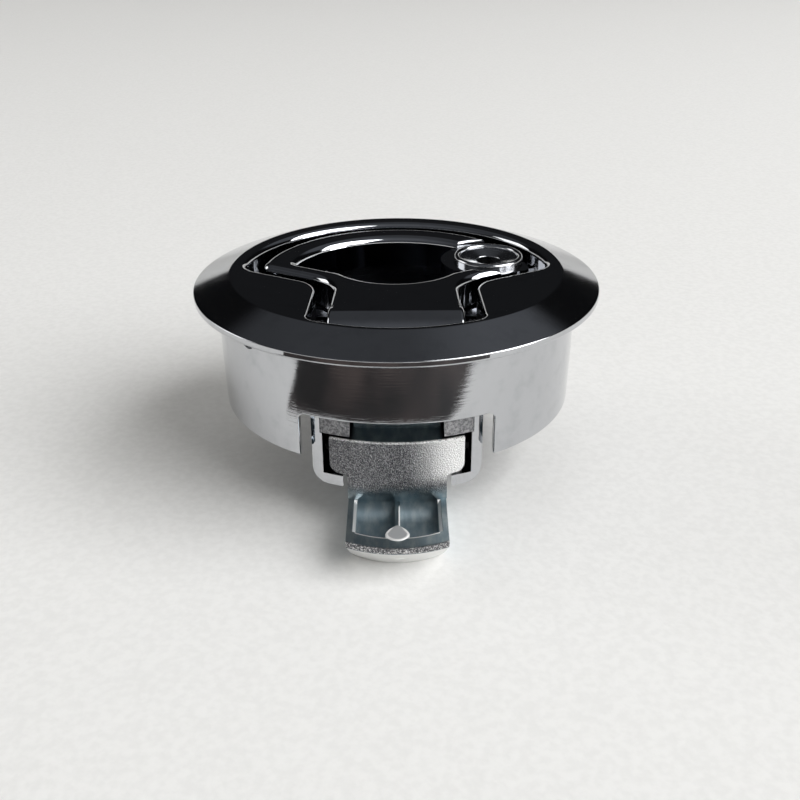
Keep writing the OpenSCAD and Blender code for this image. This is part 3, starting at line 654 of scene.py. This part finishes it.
rib_half, rib_top, pad_r, pad_point = 0.35, tongue_top - 0.5, 1.65, 0.6
pad_y, pad_top = nose_y + nose_rim + 0.5, tongue_top + 0.1
y0, y1 = 4 - bolt_front_r, bolt_rear - 4
middle = (bolt_top + flange_bottom) / 2
rubs = [block(MOVE - channel_w / 2, channel_w / 2 - MOVE, y0, y1, middle - RUB_W / 2, middle + RUB_W / 2)]
for side in (-1, 1):
    x = side * (half - RUB_W)
    rubs += [block(x - RUB_W / 2, x + RUB_W / 2, y0, y1, bolt_top - OVER, channel_top - MOVE),
             block(x - RUB_W / 2, x + RUB_W / 2, y0, y1, channel_bottom + MOVE, flange_bottom + OVER)]
spring_bore = rod_y(bore_end, bolt_rear + OVER, 0, spring_z, bore_r)
point_a = math.acos(pad_r / (pad_r + pad_point))
drop = [(pad_r * math.cos(a), pad_y + pad_r * math.sin(a), 0)
        for a in math.pi / 2 + np.linspace(point_a, 2 * math.pi - point_a, 40)]
drop = rounded(drop + [(0, pad_y + pad_r + pad_point, 0.5)])
pad = loft(drop, [(0, pocket_floor - OVER)] + edge_round(0.3, pad_top))
join(bolt, pad, *rubs, block(-rib_half, rib_half, pad_y, rear + OVER, pocket_floor - OVER, rib_top))
cut(bolt, spring_bore)
print("bolt edges:", bevel(bolt, BOLT_EDGE))
dress(bolt, "bolt_casting", "bolt", "bolt_body")

# %% [markdown]
# ## One small language for nodes
#
# A node tree is easier to read as a formula. This class wraps one socket: ordinary operators add Math nodes, and
# one method adds any other node. The same class serves Geometry Nodes and shaders.

# %% Sockets as values
class Sock:
    """An output socket of a node tree, used like a number."""

    def __init__(self, tree, socket):
        self.tree, self.socket = tree, socket

    def node(self, kind, inputs=None, out=0, **settings):
        """Adds a node: its settings first, then the values or links of its sockets."""
        made = self.tree.nodes.new(kind)
        for key, value in settings.items():
            setattr(made, key, value)
        for key, value in (inputs or {}).items():
            feed(self.tree, value, made.inputs[key])
        return Sock(self.tree, made.outputs[out])

    def math(self, operation, *others):
        return self.node("ShaderNodeMath", dict(enumerate((self, *others))), operation=operation)

    def __add__(self, other):
        return self.math("ADD", other)

    def __sub__(self, other):
        return self.math("SUBTRACT", other)

    def __rsub__(self, other):
        return self.node("ShaderNodeMath", {0: other, 1: self}, operation="SUBTRACT")

    def __mul__(self, other):
        return self.math("MULTIPLY", other)

    def __truediv__(self, other):
        return self.math("DIVIDE", other)

    __radd__, __rmul__ = __add__, __mul__

    def ramp(self, low, high):
        """A smooth step from 0 to 1 between two values."""
        return self.node("ShaderNodeMapRange", {0: self, 1: low, 2: high}, interpolation_type="SMOOTHSTEP")


def feed(tree, value, socket):
    """Links a socket to an input, or sets the input's own value."""
    if isinstance(value, Sock):
        tree.links.new(value.socket, socket)
    else:
        socket.default_value = value


print("node language is ready")

# %% [markdown]
# ## Springs
#
# A spring is one wire on a path. A Geometry Nodes tree sweeps a circle along any row of points. The bolt's
# compression spring has its own tree, which works out the coil from its sizes: the end turns lie closed and the
# rest share the length.

# %% Spring trees
WIRE_SIDES, TURN_STEPS = 14, 40


def new_tree(name, inputs):
    tree = bpy.data.node_groups.new(name, "GeometryNodeTree")
    for label, kind in inputs:
        tree.interface.new_socket(label, in_out="INPUT", socket_type=kind)
    tree.interface.new_socket("Wire", in_out="OUTPUT", socket_type="NodeSocketGeometry")
    source = tree.nodes.new("NodeGroupInput")
    return tree, {s.name: Sock(tree, s) for s in source.outputs if s.name}


def sweep(points, radius, finish):
    """Nodes that sweep a round wire along a row of points, and the tree's output."""
    curve = points.node("GeometryNodeMeshToCurve", {"Mesh": points})
    ring = points.node("GeometryNodeCurvePrimitiveCircle", {"Resolution": WIRE_SIDES, "Radius": radius})
    wire = points.node("GeometryNodeCurveToMesh", {"Curve": curve, "Profile Curve": ring, "Fill Caps": True})
    plain = wire.node("GeometryNodeRealizeInstances", {"Geometry": wire})
    smooth = plain.node("GeometryNodeSetShadeSmooth", {"Geometry": plain})
    painted = smooth.node("GeometryNodeSetMaterial", {"Geometry": smooth, "Material": finish})
    output = points.tree.nodes.new("NodeGroupOutput")
    feed(points.tree, painted, output.inputs["Wire"])


path_tree, ins = new_tree("wire along a path", [("Path", "NodeSocketGeometry"), ("Wire radius", "NodeSocketFloat"),
                                                ("Finish", "NodeSocketMaterial")])
sweep(ins["Path"], ins["Wire radius"], ins["Finish"])

coil_tree, ins = new_tree("compression spring", [
    ("Path", "NodeSocketGeometry"), ("Turns", "NodeSocketInt"), ("Closed turns", "NodeSocketFloat"),
    ("Coil radius", "NodeSocketFloat"), ("Wire radius", "NodeSocketFloat"), ("Length", "NodeSocketFloat"),
    ("Finish", "NodeSocketMaterial")])
turns, closed = ins["Turns"], ins["Closed turns"]
line = turns.node("GeometryNodeMeshLine", {"Count": turns * TURN_STEPS + 1}, mode="OFFSET")
turn = turns.node("GeometryNodeInputIndex") / TURN_STEPS
end_turns = turn.math("MINIMUM", closed) + (turn - turns + closed).math("MAXIMUM", 0.0)
wire_d = ins["Wire radius"] * 2
pitch = (ins["Length"] - wire_d * (closed * 2 + 1)) / (turns - closed * 2)
angle = turn * (2 * math.pi)
spot = turn.node("ShaderNodeCombineXYZ", {
    "X": angle.math("COSINE") * ins["Coil radius"],
    "Y": ins["Wire radius"] + wire_d * end_turns + pitch * (turn - end_turns),
    "Z": angle.math("SINE") * ins["Coil radius"]})
moved = line.node("GeometryNodeSetPosition", {"Geometry": line, "Position": spot})
sweep(moved, ins["Wire radius"], ins["Finish"])
print("trees:", path_tree.name, "and", coil_tree.name)

# %% Springs: make the wires
spring_steel = bpy.data.materials.new("spring_steel")


def grown(tree, name, points, node, **sizes):
    """Runs a tree on a row of points and keeps the result as a plain mesh in the frame."""
    mesh = bpy.data.meshes.new(name)
    mesh.from_pydata([tuple(p) for p in points], [(i, i + 1) for i in range(len(points) - 1)], [])
    obj = added(name, mesh)
    change = obj.modifiers.new("grow", "NODES")
    change.node_group = tree
    for socket in tree.interface.items_tree:
        if socket.in_out == "INPUT" and socket.name in sizes:
            change[socket.identifier] = sizes[socket.name]
    apply_modifiers(obj)
    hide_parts(node)
    print(name, "has", len(obj.data.polygons), "faces")
    return obj


RING_WIRE, BOLT_WIRE, BOLT_COIL_R, BOLT_TURNS, SPRING_GAP = 0.5, 0.8, 2.8, 12, 0.05
coil_turn, coil_pitch = 2.75, RING_WIRE * 1.05
coil_x = roll_half + (ring_gap - coil_pitch * coil_turn) / 2
spring_front = bore_end + SPRING_GAP
bolt_spring = grown(coil_tree, "bolt_spring_wire", [(0, 0, 0)], "bolt_spring", **{
    "Turns": BOLT_TURNS, "Closed turns": 1.0, "Coil radius": BOLT_COIL_R * MM, "Wire radius": BOLT_WIRE / 2 * MM,
    "Length": (seat_y - SPRING_GAP - spring_front) * MM, "Finish": spring_steel})
bolt_spring.data.transform(Matrix.Translation(Vector((0, spring_front, spring_z)) * MM))
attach(bolt_spring, "housing_body")
bolt_len = seat_y - spring_front
1 - 9.4 / bolt_len
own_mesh(bolt_spring)

for side, word in ((-1, "left"), (1, "right")):
    angles = -math.pi / 2 - np.arange(0, coil_turn * TURN_STEPS + 1) * 2 * math.pi / TURN_STEPS
    xs = coil_x + coil_pitch * np.arange(len(angles)) / TURN_STEPS
    coil = [(side * x, hinge_y + coil_r * math.cos(a), hinge_z + coil_r * math.sin(a)) for x, a in zip(xs, angles)]
    bend = 0.3
    hook = [(side * (roll_half - 1.5), hinge_y + hook_y, hinge_z - coil_r),
            (side * (coil_x - bend), hinge_y + hook_y, hinge_z - coil_r),
            (side * (coil_x - bend / 3), hinge_y + hook_y - bend / 3, hinge_z - coil_r),
            (side * coil_x, hinge_y + hook_y - bend, hinge_z - coil_r)]
    leg = [(coil[-1][0], hinge_y + coil_r, bar_top + 0.02)]
    wire = grown(path_tree, f"ring_spring_wire_{word}", np.array(hook + coil + leg) * MM, f"ring_spring_{word}",
                 **{"Wire radius": RING_WIRE / 2 * MM, "Finish": spring_steel})
    tuple(np.array((side * coil_x, hinge_y, hinge_z)) * MM)
    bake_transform(wire)

# %% [markdown]
# ## Finishes
#
# Chrome is all reflection, so its detail is in roughness and tiny bumps: polishing marks that run round the
# wall, fine scratches across the bevel, and a faint waviness of the plating. Every finish starts from the
# piece's own object coordinates, in millimetres.

# %% Finish helpers
def new_finish(name, material=None):
    """A material with a Principled shader, and its object coordinates in millimetres."""
    material = material or bpy.data.materials.new(name)
    material.use_nodes = True
    tree = material.node_tree
    tree.nodes.clear()
    shader = tree.nodes.new("ShaderNodeBsdfPrincipled")
    output = tree.nodes.new("ShaderNodeOutputMaterial")
    tree.links.new(shader.outputs["BSDF"], output.inputs["Surface"])
    coords = tree.nodes.new("ShaderNodeTexCoord")
    spot = Sock(tree, coords.outputs["Object"])
    spot = spot.node("ShaderNodeVectorMath", {0: spot, "Scale": 1 / MM}, operation="SCALE")
    return material, shader, spot


def xyz(spot):
    parts = spot.tree.nodes.new("ShaderNodeSeparateXYZ")
    feed(spot.tree, spot, parts.inputs[0])
    return [Sock(spot.tree, parts.outputs[i]) for i in range(3)]


def vector(x, y, z):
    return x.node("ShaderNodeCombineXYZ", {"X": x, "Y": y, "Z": z})


def noise(spot, scale, detail=3.0, roughness=0.55):
    return spot.node("ShaderNodeTexNoise", {"Vector": spot, "Scale": scale, "Detail": detail, "Roughness": roughness})


def bump(height, distance, strength=1.0, under=None):
    inputs = {"Height": height, "Distance": distance * MM, "Strength": strength}
    if under:
        inputs["Normal"] = under
    return height.node("ShaderNodeBump", inputs)


def above(value, level, soft=0.2):
    """A mask that is 1 above a level, with a soft edge."""
    return value.ramp(level, level + soft)


def below(value, level, soft=0.2):
    return 1 - above(value, level, soft)


def either(a, b):
    return a.math("MAXIMUM", b)


def colour_mix(factor, a, b):
    return factor.node("ShaderNodeMix", {0: factor, 6: a, 7: b}, out=2, data_type="RGBA")


def set_shader(shader, **values):
    tree = shader.id_data
    for name, value in values.items():
        feed(tree, value, shader.inputs[name.replace("_", " ")])


def wear(piece, material):
    piece.data.materials.clear()
    piece.data.materials.append(material)


print("finish helpers are ready")

# %% Housing chrome
CHROME = (0.56, 0.57, 0.59, 1.0)
CHROME_DULL = (0.47, 0.48, 0.50, 1.0)
CAST_GREY, CAST_DARK = (0.50, 0.50, 0.51, 1.0), (0.22, 0.22, 0.23, 1.0)
SHADE_INSIDE = (0.10, 0.105, 0.12, 1.0)     # painted shade: a darker colour deep inside the body and in the slots beside the neck, where shade falls

material, shader, spot = new_finish("housing_chrome")
x, y, z = xyz(spot)
radius = (x * x + y * y).math("SQRT")
around = y.math("ARCTAN2", x)
wall = above(radius, body_r - 0.8) * below(z, -0.3)
slope = above(radius, face_r - 0.1, 0.4) * above(z, lip_t - 0.2, 0.3)
over_bars, under_bars = above(z, bar_top - 0.1, 0.3), below(z, bar_top - 0.1)
# deep and slots mark where shade is painted inside the housing; those places are also rougher
deep = below(z, -5.0, 4.0) * below(radius, inner_r - 0.4) * either(above(y, -20.5, 2.0), over_bars)
slots = below(z, 0.4, 1.6) * below(y, -7.0, 3.0) * below(radius, 23.7, 0.3) * over_bars
deep = either(deep, slots)
guide_part = under_bars * below(radius, guide_r + 0.2)
bars = (below(y, -21.0, 0.4) * below(radius, guide_r + 0.3, 0.3) * under_bars
        * below(x.math("ABSOLUTE"), channel_w / 2 + 0.1) * above(z, channel_top - BAR_LIP - 0.15, 0.1))
rings = noise(vector(around * 7.0, z * 3.4, radius * 0.4), 1.0, 4.0, 0.65)
strokes = noise(vector(around * 110.0, radius * 0.7, z * 0.2), 1.0, 3.0)
waves = noise(spot, 0.16, 1.0)
sand = noise(spot, 2.4, 5.0, 0.7)
dents = noise(spot, 0.45, 2.0)
smudge = noise(spot, 0.35, 4.0)
rough = 0.035 + smudge.ramp(0.5, 0.8) * 0.04 + slope * 0.06 + wall * 0.03 + bars * 0.3 + deep * 0.25
lift = bump(waves, 0.05, 0.25)
lift = bump(wall * rings, 0.014, 0.7, lift)
lift = bump(guide_part * dents, 0.06, 0.5, lift)
lift = bump(slope * strokes, 0.004, 0.6, lift)
lift = bump(sand * bars, 0.35, 1.0, lift)
plate = colour_mix(smudge.ramp(0.45, 0.85), CHROME, CHROME_DULL)
cast = colour_mix(sand.ramp(0.42, 0.6), CAST_DARK, CAST_GREY)
set_shader(shader, Metallic=1.0, Roughness=rough, Normal=lift,
           Base_Color=colour_mix(deep, colour_mix(bars, plate, cast), SHADE_INSIDE))
wear(housing, material)
print("housing chrome:", len(material.node_tree.nodes), "nodes")

# %% Ring and insert chrome
def bright_chrome(name, wave_scale, polish):
    material, shader, spot = new_finish(name)
    smudge = noise(spot, 0.5, 4.0)
    turned = spot.node("ShaderNodeMapping", {"Vector": spot, "Rotation": (0, 0, 0.6), "Scale": (0.5, 14, 3)})
    lift = bump(noise(spot, wave_scale, 1.0), 0.05, 0.2)
    lift = bump(noise(turned, 1.0, 4.0), 0.003, 0.3, lift)
    set_shader(shader, Metallic=1.0, Roughness=polish + smudge.ramp(0.5, 0.85) * 0.05, Normal=lift,
               Base_Color=colour_mix(smudge.ramp(0.45, 0.9), CHROME, CHROME_DULL))
    return material


wear(pull, bright_chrome("ring_chrome", 0.2, 0.035))
wear(insert, bright_chrome("insert_chrome", 0.5, 0.14))
print("ring and insert are bright")

# %% [markdown]
# ## Cast finish of the bolt
#
# The bolt keeps the skin of its mould: sharp grains on the front of the T and along the nose, and
# smooth metal in the pocket and on the ramp, where a polished tool formed it. Its colour also carries painted light:
# glints along the T's top edge and the nose, highlights along the pocket's mouth and the rib, a paler right end of
# the T, and painted shade, near black, on the T's sides in the guide and on its top.

# %% Bolt casting: where each skin lies
material, shader, spot = new_finish("bolt_casting")
x, y, z = xyz(spot)
across, reach = x.math("ABSOLUTE"), (x * x + y * y).math("SQRT")
from_nose = (x * x + (y - nose_c) * (y - nose_c)).math("SQRT")
grain, patches = noise(spot, 4.6, 6.0, 0.75), noise(spot, 0.5, 2.0)

ramp_from = nose_r_plan - tongue_top + nose_land - 0.25
ramp_face = above(from_nose - z, ramp_from) * below(z, tongue_top - 1.1, 0.3)
nose_edge = above(from_nose, nose_r_plan - 0.6, 0.3) * above(z, tongue_top - 0.75, 0.15) * below(y, -32.0, 2.0)
step_face = above(z, bolt_top + 0.15, 0.1)
top_face = above(z, bolt_top - 0.25, 0.13) * above(y, 0.2 - bolt_front_r) * (1 - step_face)
hollow = below(z, tongue_top - 0.6, 0.1) * (1 - ramp_face)
coarse = either(above(z + patches * 2.0, -21.6, 2.4) * (1 - either(top_face, step_face)), nose_edge)
# painted shade: the T's sides in the guide and its top face under the window are near black
painted_shade = either(above(across, flange_w / 2 - 0.2, 0.15) * above(y, -22.6, 0.6), top_face * above(across, 5.5, 1.0))

before, after = (y - pad_y).math("MINIMUM", 0.0), (y - pad_y).math("MAXIMUM", 0.0)
from_pad = (x * x + before * before).math("SQRT") + after * 0.5
pad_face = below(from_pad, pad_r - 0.1, 0.15) * above(z, pad_top - 0.35, 0.1) * below(y, pad_y + 2.3, 0.4)
print("bolt masks:", len(material.node_tree.nodes), "nodes")

# %% Bolt casting: painted edge highlights
mouth_x = above(across, pocket_half - 0.1, 0.1) * below(across, pocket_half + 0.4, 0.1)
mouth_x = mouth_x * from_nose.math("LESS_THAN", bowl_r + 0.5) * below(z, tongue_top - 0.08, 0.06)
mouth_y = above(from_nose, bowl_r - 0.1, 0.1) * below(from_nose, bowl_r + 0.6, 0.1) * below(across, pocket_half, 0.1)
edge_highlight = either(mouth_x, mouth_y * below(y, -30.0, 1.0)) * above(z, tongue_top - 0.5, 0.08) * (1 - pad_face)
rib_highlight = above(x, 0.12, 0.08) * below(x, 0.42, 0.08) * above(y, pad_y + 1.8, 0.4) * below(y, -25.2, 0.8)
edge_highlight = either(edge_highlight, rib_highlight * above(z, rib_top - 1.6, 0.8) * below(z, rib_top + 0.05, 0.05))
# painted glints: pale, less metallic specks along the T's top edge and along the nose's edge
painted_glint = above(reach, bolt_front_r - 0.4) * above(z, bolt_top - 0.3, 0.15) * grain.ramp(0.35, 0.55) * (1 - step_face)
painted_glint = either(painted_glint, nose_edge * grain.ramp(0.5, 0.62))
# painted light: the T's right end is paler, as if lit from the right; its grain bump is weaker there too
painted_light_right = above(x, 0.5, 7.7) * above(z, -21.0, 2.5)
print("with wear:", len(material.node_tree.nodes), "nodes")

# %% Bolt casting: colour and grain
PAD_GREY, ZINC_PALE, PAINTED_HIGHLIGHT_PALE = (0.36, 0.37, 0.38, 1.0), (0.80, 0.80, 0.79, 1.0), (0.95, 0.95, 0.94, 1.0)
GRAIN_DARK, GRAIN_PALE = (0.08, 0.08, 0.09, 1.0), (0.44, 0.44, 0.44, 1.0)
POCKET_BLUE, POCKET_PALE, SHADE_BLACK = (0.22, 0.28, 0.31, 1.0), (0.36, 0.41, 0.43, 1.0), (0.05, 0.05, 0.05, 1.0)
cells = spot.node("ShaderNodeTexVoronoi", {"Vector": spot, "Scale": 5.4, "Randomness": 1.0}, out="Distance")
streaks = noise(vector(x * 0.9, y * 0.3, z * 0.5), 1.0, 5.0)
smooth = colour_mix(ramp_face, colour_mix(streaks.ramp(0.35, 0.75), POCKET_BLUE, POCKET_PALE), ZINC_PALE)
# the pale rim round the pad's top is a painted highlight
smooth = colour_mix(pad_face, smooth, colour_mix(from_pad.ramp(1.15, 1.4), PAD_GREY, ZINC_PALE))
# painted highlight: pale lines along the pocket's mouth and on the rib's right side only
smooth = colour_mix(edge_highlight, smooth, PAINTED_HIGHLIGHT_PALE)
grains = colour_mix(painted_light_right, colour_mix(grain.ramp(0.4, 0.66), GRAIN_DARK, GRAIN_PALE), PAINTED_HIGHLIGHT_PALE)
tint = colour_mix(painted_shade, colour_mix(coarse, smooth, grains), SHADE_BLACK)
lift = bump((grain + cells * 0.5) * coarse * (1 - painted_light_right * 0.5), 0.4, 1.0)
lift = bump(noise(spot, 1.2, 3.0), 0.02, 0.4, lift)
set_shader(shader, Base_Color=colour_mix(painted_glint, tint, PAINTED_HIGHLIGHT_PALE), Normal=lift,
           Metallic=1 - either(either(pad_face, painted_glint), rib_highlight * edge_highlight) * 0.7,
           Roughness=0.32 + ramp_face * 0.1 + edge_highlight * 0.1 + hollow * 0.2 + streaks * 0.14)
wear(bolt, material)
print("bolt casting:", len(material.node_tree.nodes), "nodes")

# %% Steel wire and pin
material, shader, spot = new_finish("spring_steel", spring_steel)
drawn_marks = noise(spot, 6.0, 3.0)
# near black: oiled wire, darkened further as painted shade, since it lies in the shaded slots
set_shader(shader, Metallic=1.0, Roughness=0.5 + drawn_marks * 0.15, Normal=bump(drawn_marks, 0.01, 0.5),
           Base_Color=colour_mix(drawn_marks.ramp(0.3, 0.7), (0.05, 0.05, 0.06, 1), (0.10, 0.10, 0.11, 1)))
material, shader, spot = new_finish("pin_steel")
x, y, z = xyz(spot)
turned = noise(vector(x * 5.0, y * 0.5, z * 0.5), 1.0, 3.0)
# painted shade: the pin is darker than bare turned steel, as it lies in shade
set_shader(shader, Metallic=1.0, Roughness=0.18 + turned * 0.15, Normal=bump(turned, 0.01, 0.5),
           Base_Color=colour_mix(turned.ramp(0.3, 0.7), (0.16, 0.16, 0.17, 1), (0.26, 0.26, 0.27, 1)))
wear(pin, material)
print("steel is drawn and turned")

# %% [markdown]
# ## Stage, light and camera
#
# Chrome shows what stands round it, so the stage is part of the finish. A pale table rises into a low rim far
# away, which whitens the parts of the bevel that look outwards. The room above is dark, which blackens the flat
# top. Only mirror rays see that room. A large window on the right is the main light, with a weak fill on the left and
# a low lamp on the right. A dark card in front, seen only in reflections, gives the body's wall its dark middle.

# %% Table
floor_z = cad_box[0][2] - 0.00002
table_profile = [(0.2, 0.0), (0.6, 0.0), (1.2, 0.0), (1.5, 0.02), (1.75, 0.08), (1.95, 0.18), (2.05, 0.30),
                 (2.08, 0.42)]
spokes = 96
turns_at = np.arange(spokes) * 2 * math.pi / spokes
points = [(r * math.cos(a), r * math.sin(a), floor_z + h) for r, h in table_profile for a in turns_at]
faces = [(k * spokes + i, (k + 1) * spokes + i, (k + 1) * spokes + (i + 1) % spokes, k * spokes + (i + 1) % spokes)
         for k in range(len(table_profile) - 1) for i in range(spokes)] + [tuple(range(spokes))]
mesh = bpy.data.meshes.new("table")
mesh.from_pydata(points, [], faces)
mesh.shade_smooth()
floor = added("table", mesh)
material, shader, spot = new_finish("table_white")
pebbles = noise(spot, 0.9, 2.0, 0.5)
set_shader(shader, Roughness=0.9, Specular_IOR_Level=0.2, Normal=bump(pebbles, 0.16, 0.3),
           Base_Color=colour_mix(pebbles.ramp(0.3, 0.7), (0.79, 0.79, 0.78, 1), (0.83, 0.83, 0.82, 1)))
wear(floor, material)
print("table at", round(floor_z / MM, 1), "mm")

# %% Dark card
CARD_IN, CARD_OUT = (56.0, -148.0, -66.0), (104.0, -142.0, -44.0)     # radius, and where it starts and ends
points = [(r * math.cos(a) * MM, r * math.sin(a) * MM, floor_z + 0.0003)
          for r, start, end in (CARD_IN, CARD_OUT) for a in np.radians(np.linspace(start, end, 40))]
mesh = bpy.data.meshes.new("dark_card")
mesh.from_pydata(points, [], [(i, i + 1, 41 + i, 40 + i) for i in range(39)])
card = added("dark_card", mesh)
card.visible_camera = card.visible_diffuse = card.visible_shadow = card.visible_transmission = False
material, shader, spot = new_finish("card_black")
shades = noise(spot, 0.03, 2.0).ramp(0.35, 0.65)
set_shader(shader, Roughness=0.8, Base_Color=colour_mix(shades, (0.012, 0.010, 0.010, 1), (0.075, 0.055, 0.05, 1)))
wear(card, material)
print("card out to", CARD_OUT[0], "mm")

# %% Lights
def soft_light(name, place, size, energy):
    lamp = bpy.data.lights.new(name, "AREA")
    lamp.shape, lamp.size, lamp.size_y = "RECTANGLE", size[0], size[1]
    lamp.energy = energy
    obj = added(name, lamp)
    obj.location = place
    obj.rotation_euler = (-Vector(place)).to_track_quat("-Z", "Y").to_euler()
    return obj


soft_light("window_right", (1.60, -0.80, 1.60), (2.4, 1.8), 68.0)
soft_light("fill_left", (-2.0, 0.60, 1.0), (1.2, 1.0), 8.0)
soft_light("low_right", (1.30, -0.55, 0.25), (0.5, 0.4), 5.0)

BACKDROP, AMBIENT = 0.75, 0.26     # what stands behind the table, and the light of the whole room
world = bpy.data.worlds.new("room")
bpy.context.scene.world = world
world.use_nodes = True
tree = world.node_tree
sky = Sock(tree, tree.nodes.new("ShaderNodeTexCoord").outputs["Generated"])
rays = tree.nodes.new("ShaderNodeLightPath")
seen, mirrored = (Sock(tree, rays.outputs[name]) for name in ("Is Camera Ray", "Is Glossy Ray"))
x, y, z = xyz(sky)
overhead = z.ramp(0.57, 0.68) * (0.042 + x.ramp(0.0, 0.3) * 0.05)
room = 0.013 - x.math("ABSOLUTE").ramp(0.25, 0.42) * 0.008 + overhead + (1 - y.ramp(-0.6, 0.2)) * 0.06
level = mirrored * room + seen * BACKDROP + (1 - mirrored - seen) * AMBIENT
colour = vector(level * (1.02 - mirrored * 0.07), level, level * (0.96 + mirrored * 0.14))
feed(tree, colour, tree.nodes["Background"].inputs["Color"])

# %% Camera
IMAGE_SIDE, FOCAL_PIXELS, SENSOR = 800, 1000.0, 36.0
view_el, view_roll, view_distance = 26.888, -0.360, 149.88
view_right, view_up, lip_top = 0.565, -18.243, 1.0
el, roll = math.radians(view_el), math.radians(view_roll)
ahead = Vector((0, math.cos(el), -math.sin(el)))
right, up = Vector((1, 0, 0)), Vector((0, math.sin(el), math.cos(el)))
right, up = math.cos(roll) * right + math.sin(roll) * up, math.cos(roll) * up - math.sin(roll) * right
place = (Vector((0, 0, lip_top)) - view_distance * ahead + view_right * right + view_up * up) * MM
lens = bpy.data.cameras.new("camera")
lens.sensor_width, lens.lens = SENSOR, FOCAL_PIXELS / IMAGE_SIDE * SENSOR
lens.clip_start, lens.clip_end = 0.01, 20
camera = added("camera", lens)
turn_to = Matrix((right, up, -ahead)).transposed().to_4x4()
camera.matrix_world = Matrix.Translation(place) @ turn_to
bpy.context.scene.camera = camera
bpy.context.scene.view_settings.view_transform = "Standard"
print("camera at", [round(v / MM, 1) for v in place], "mm")
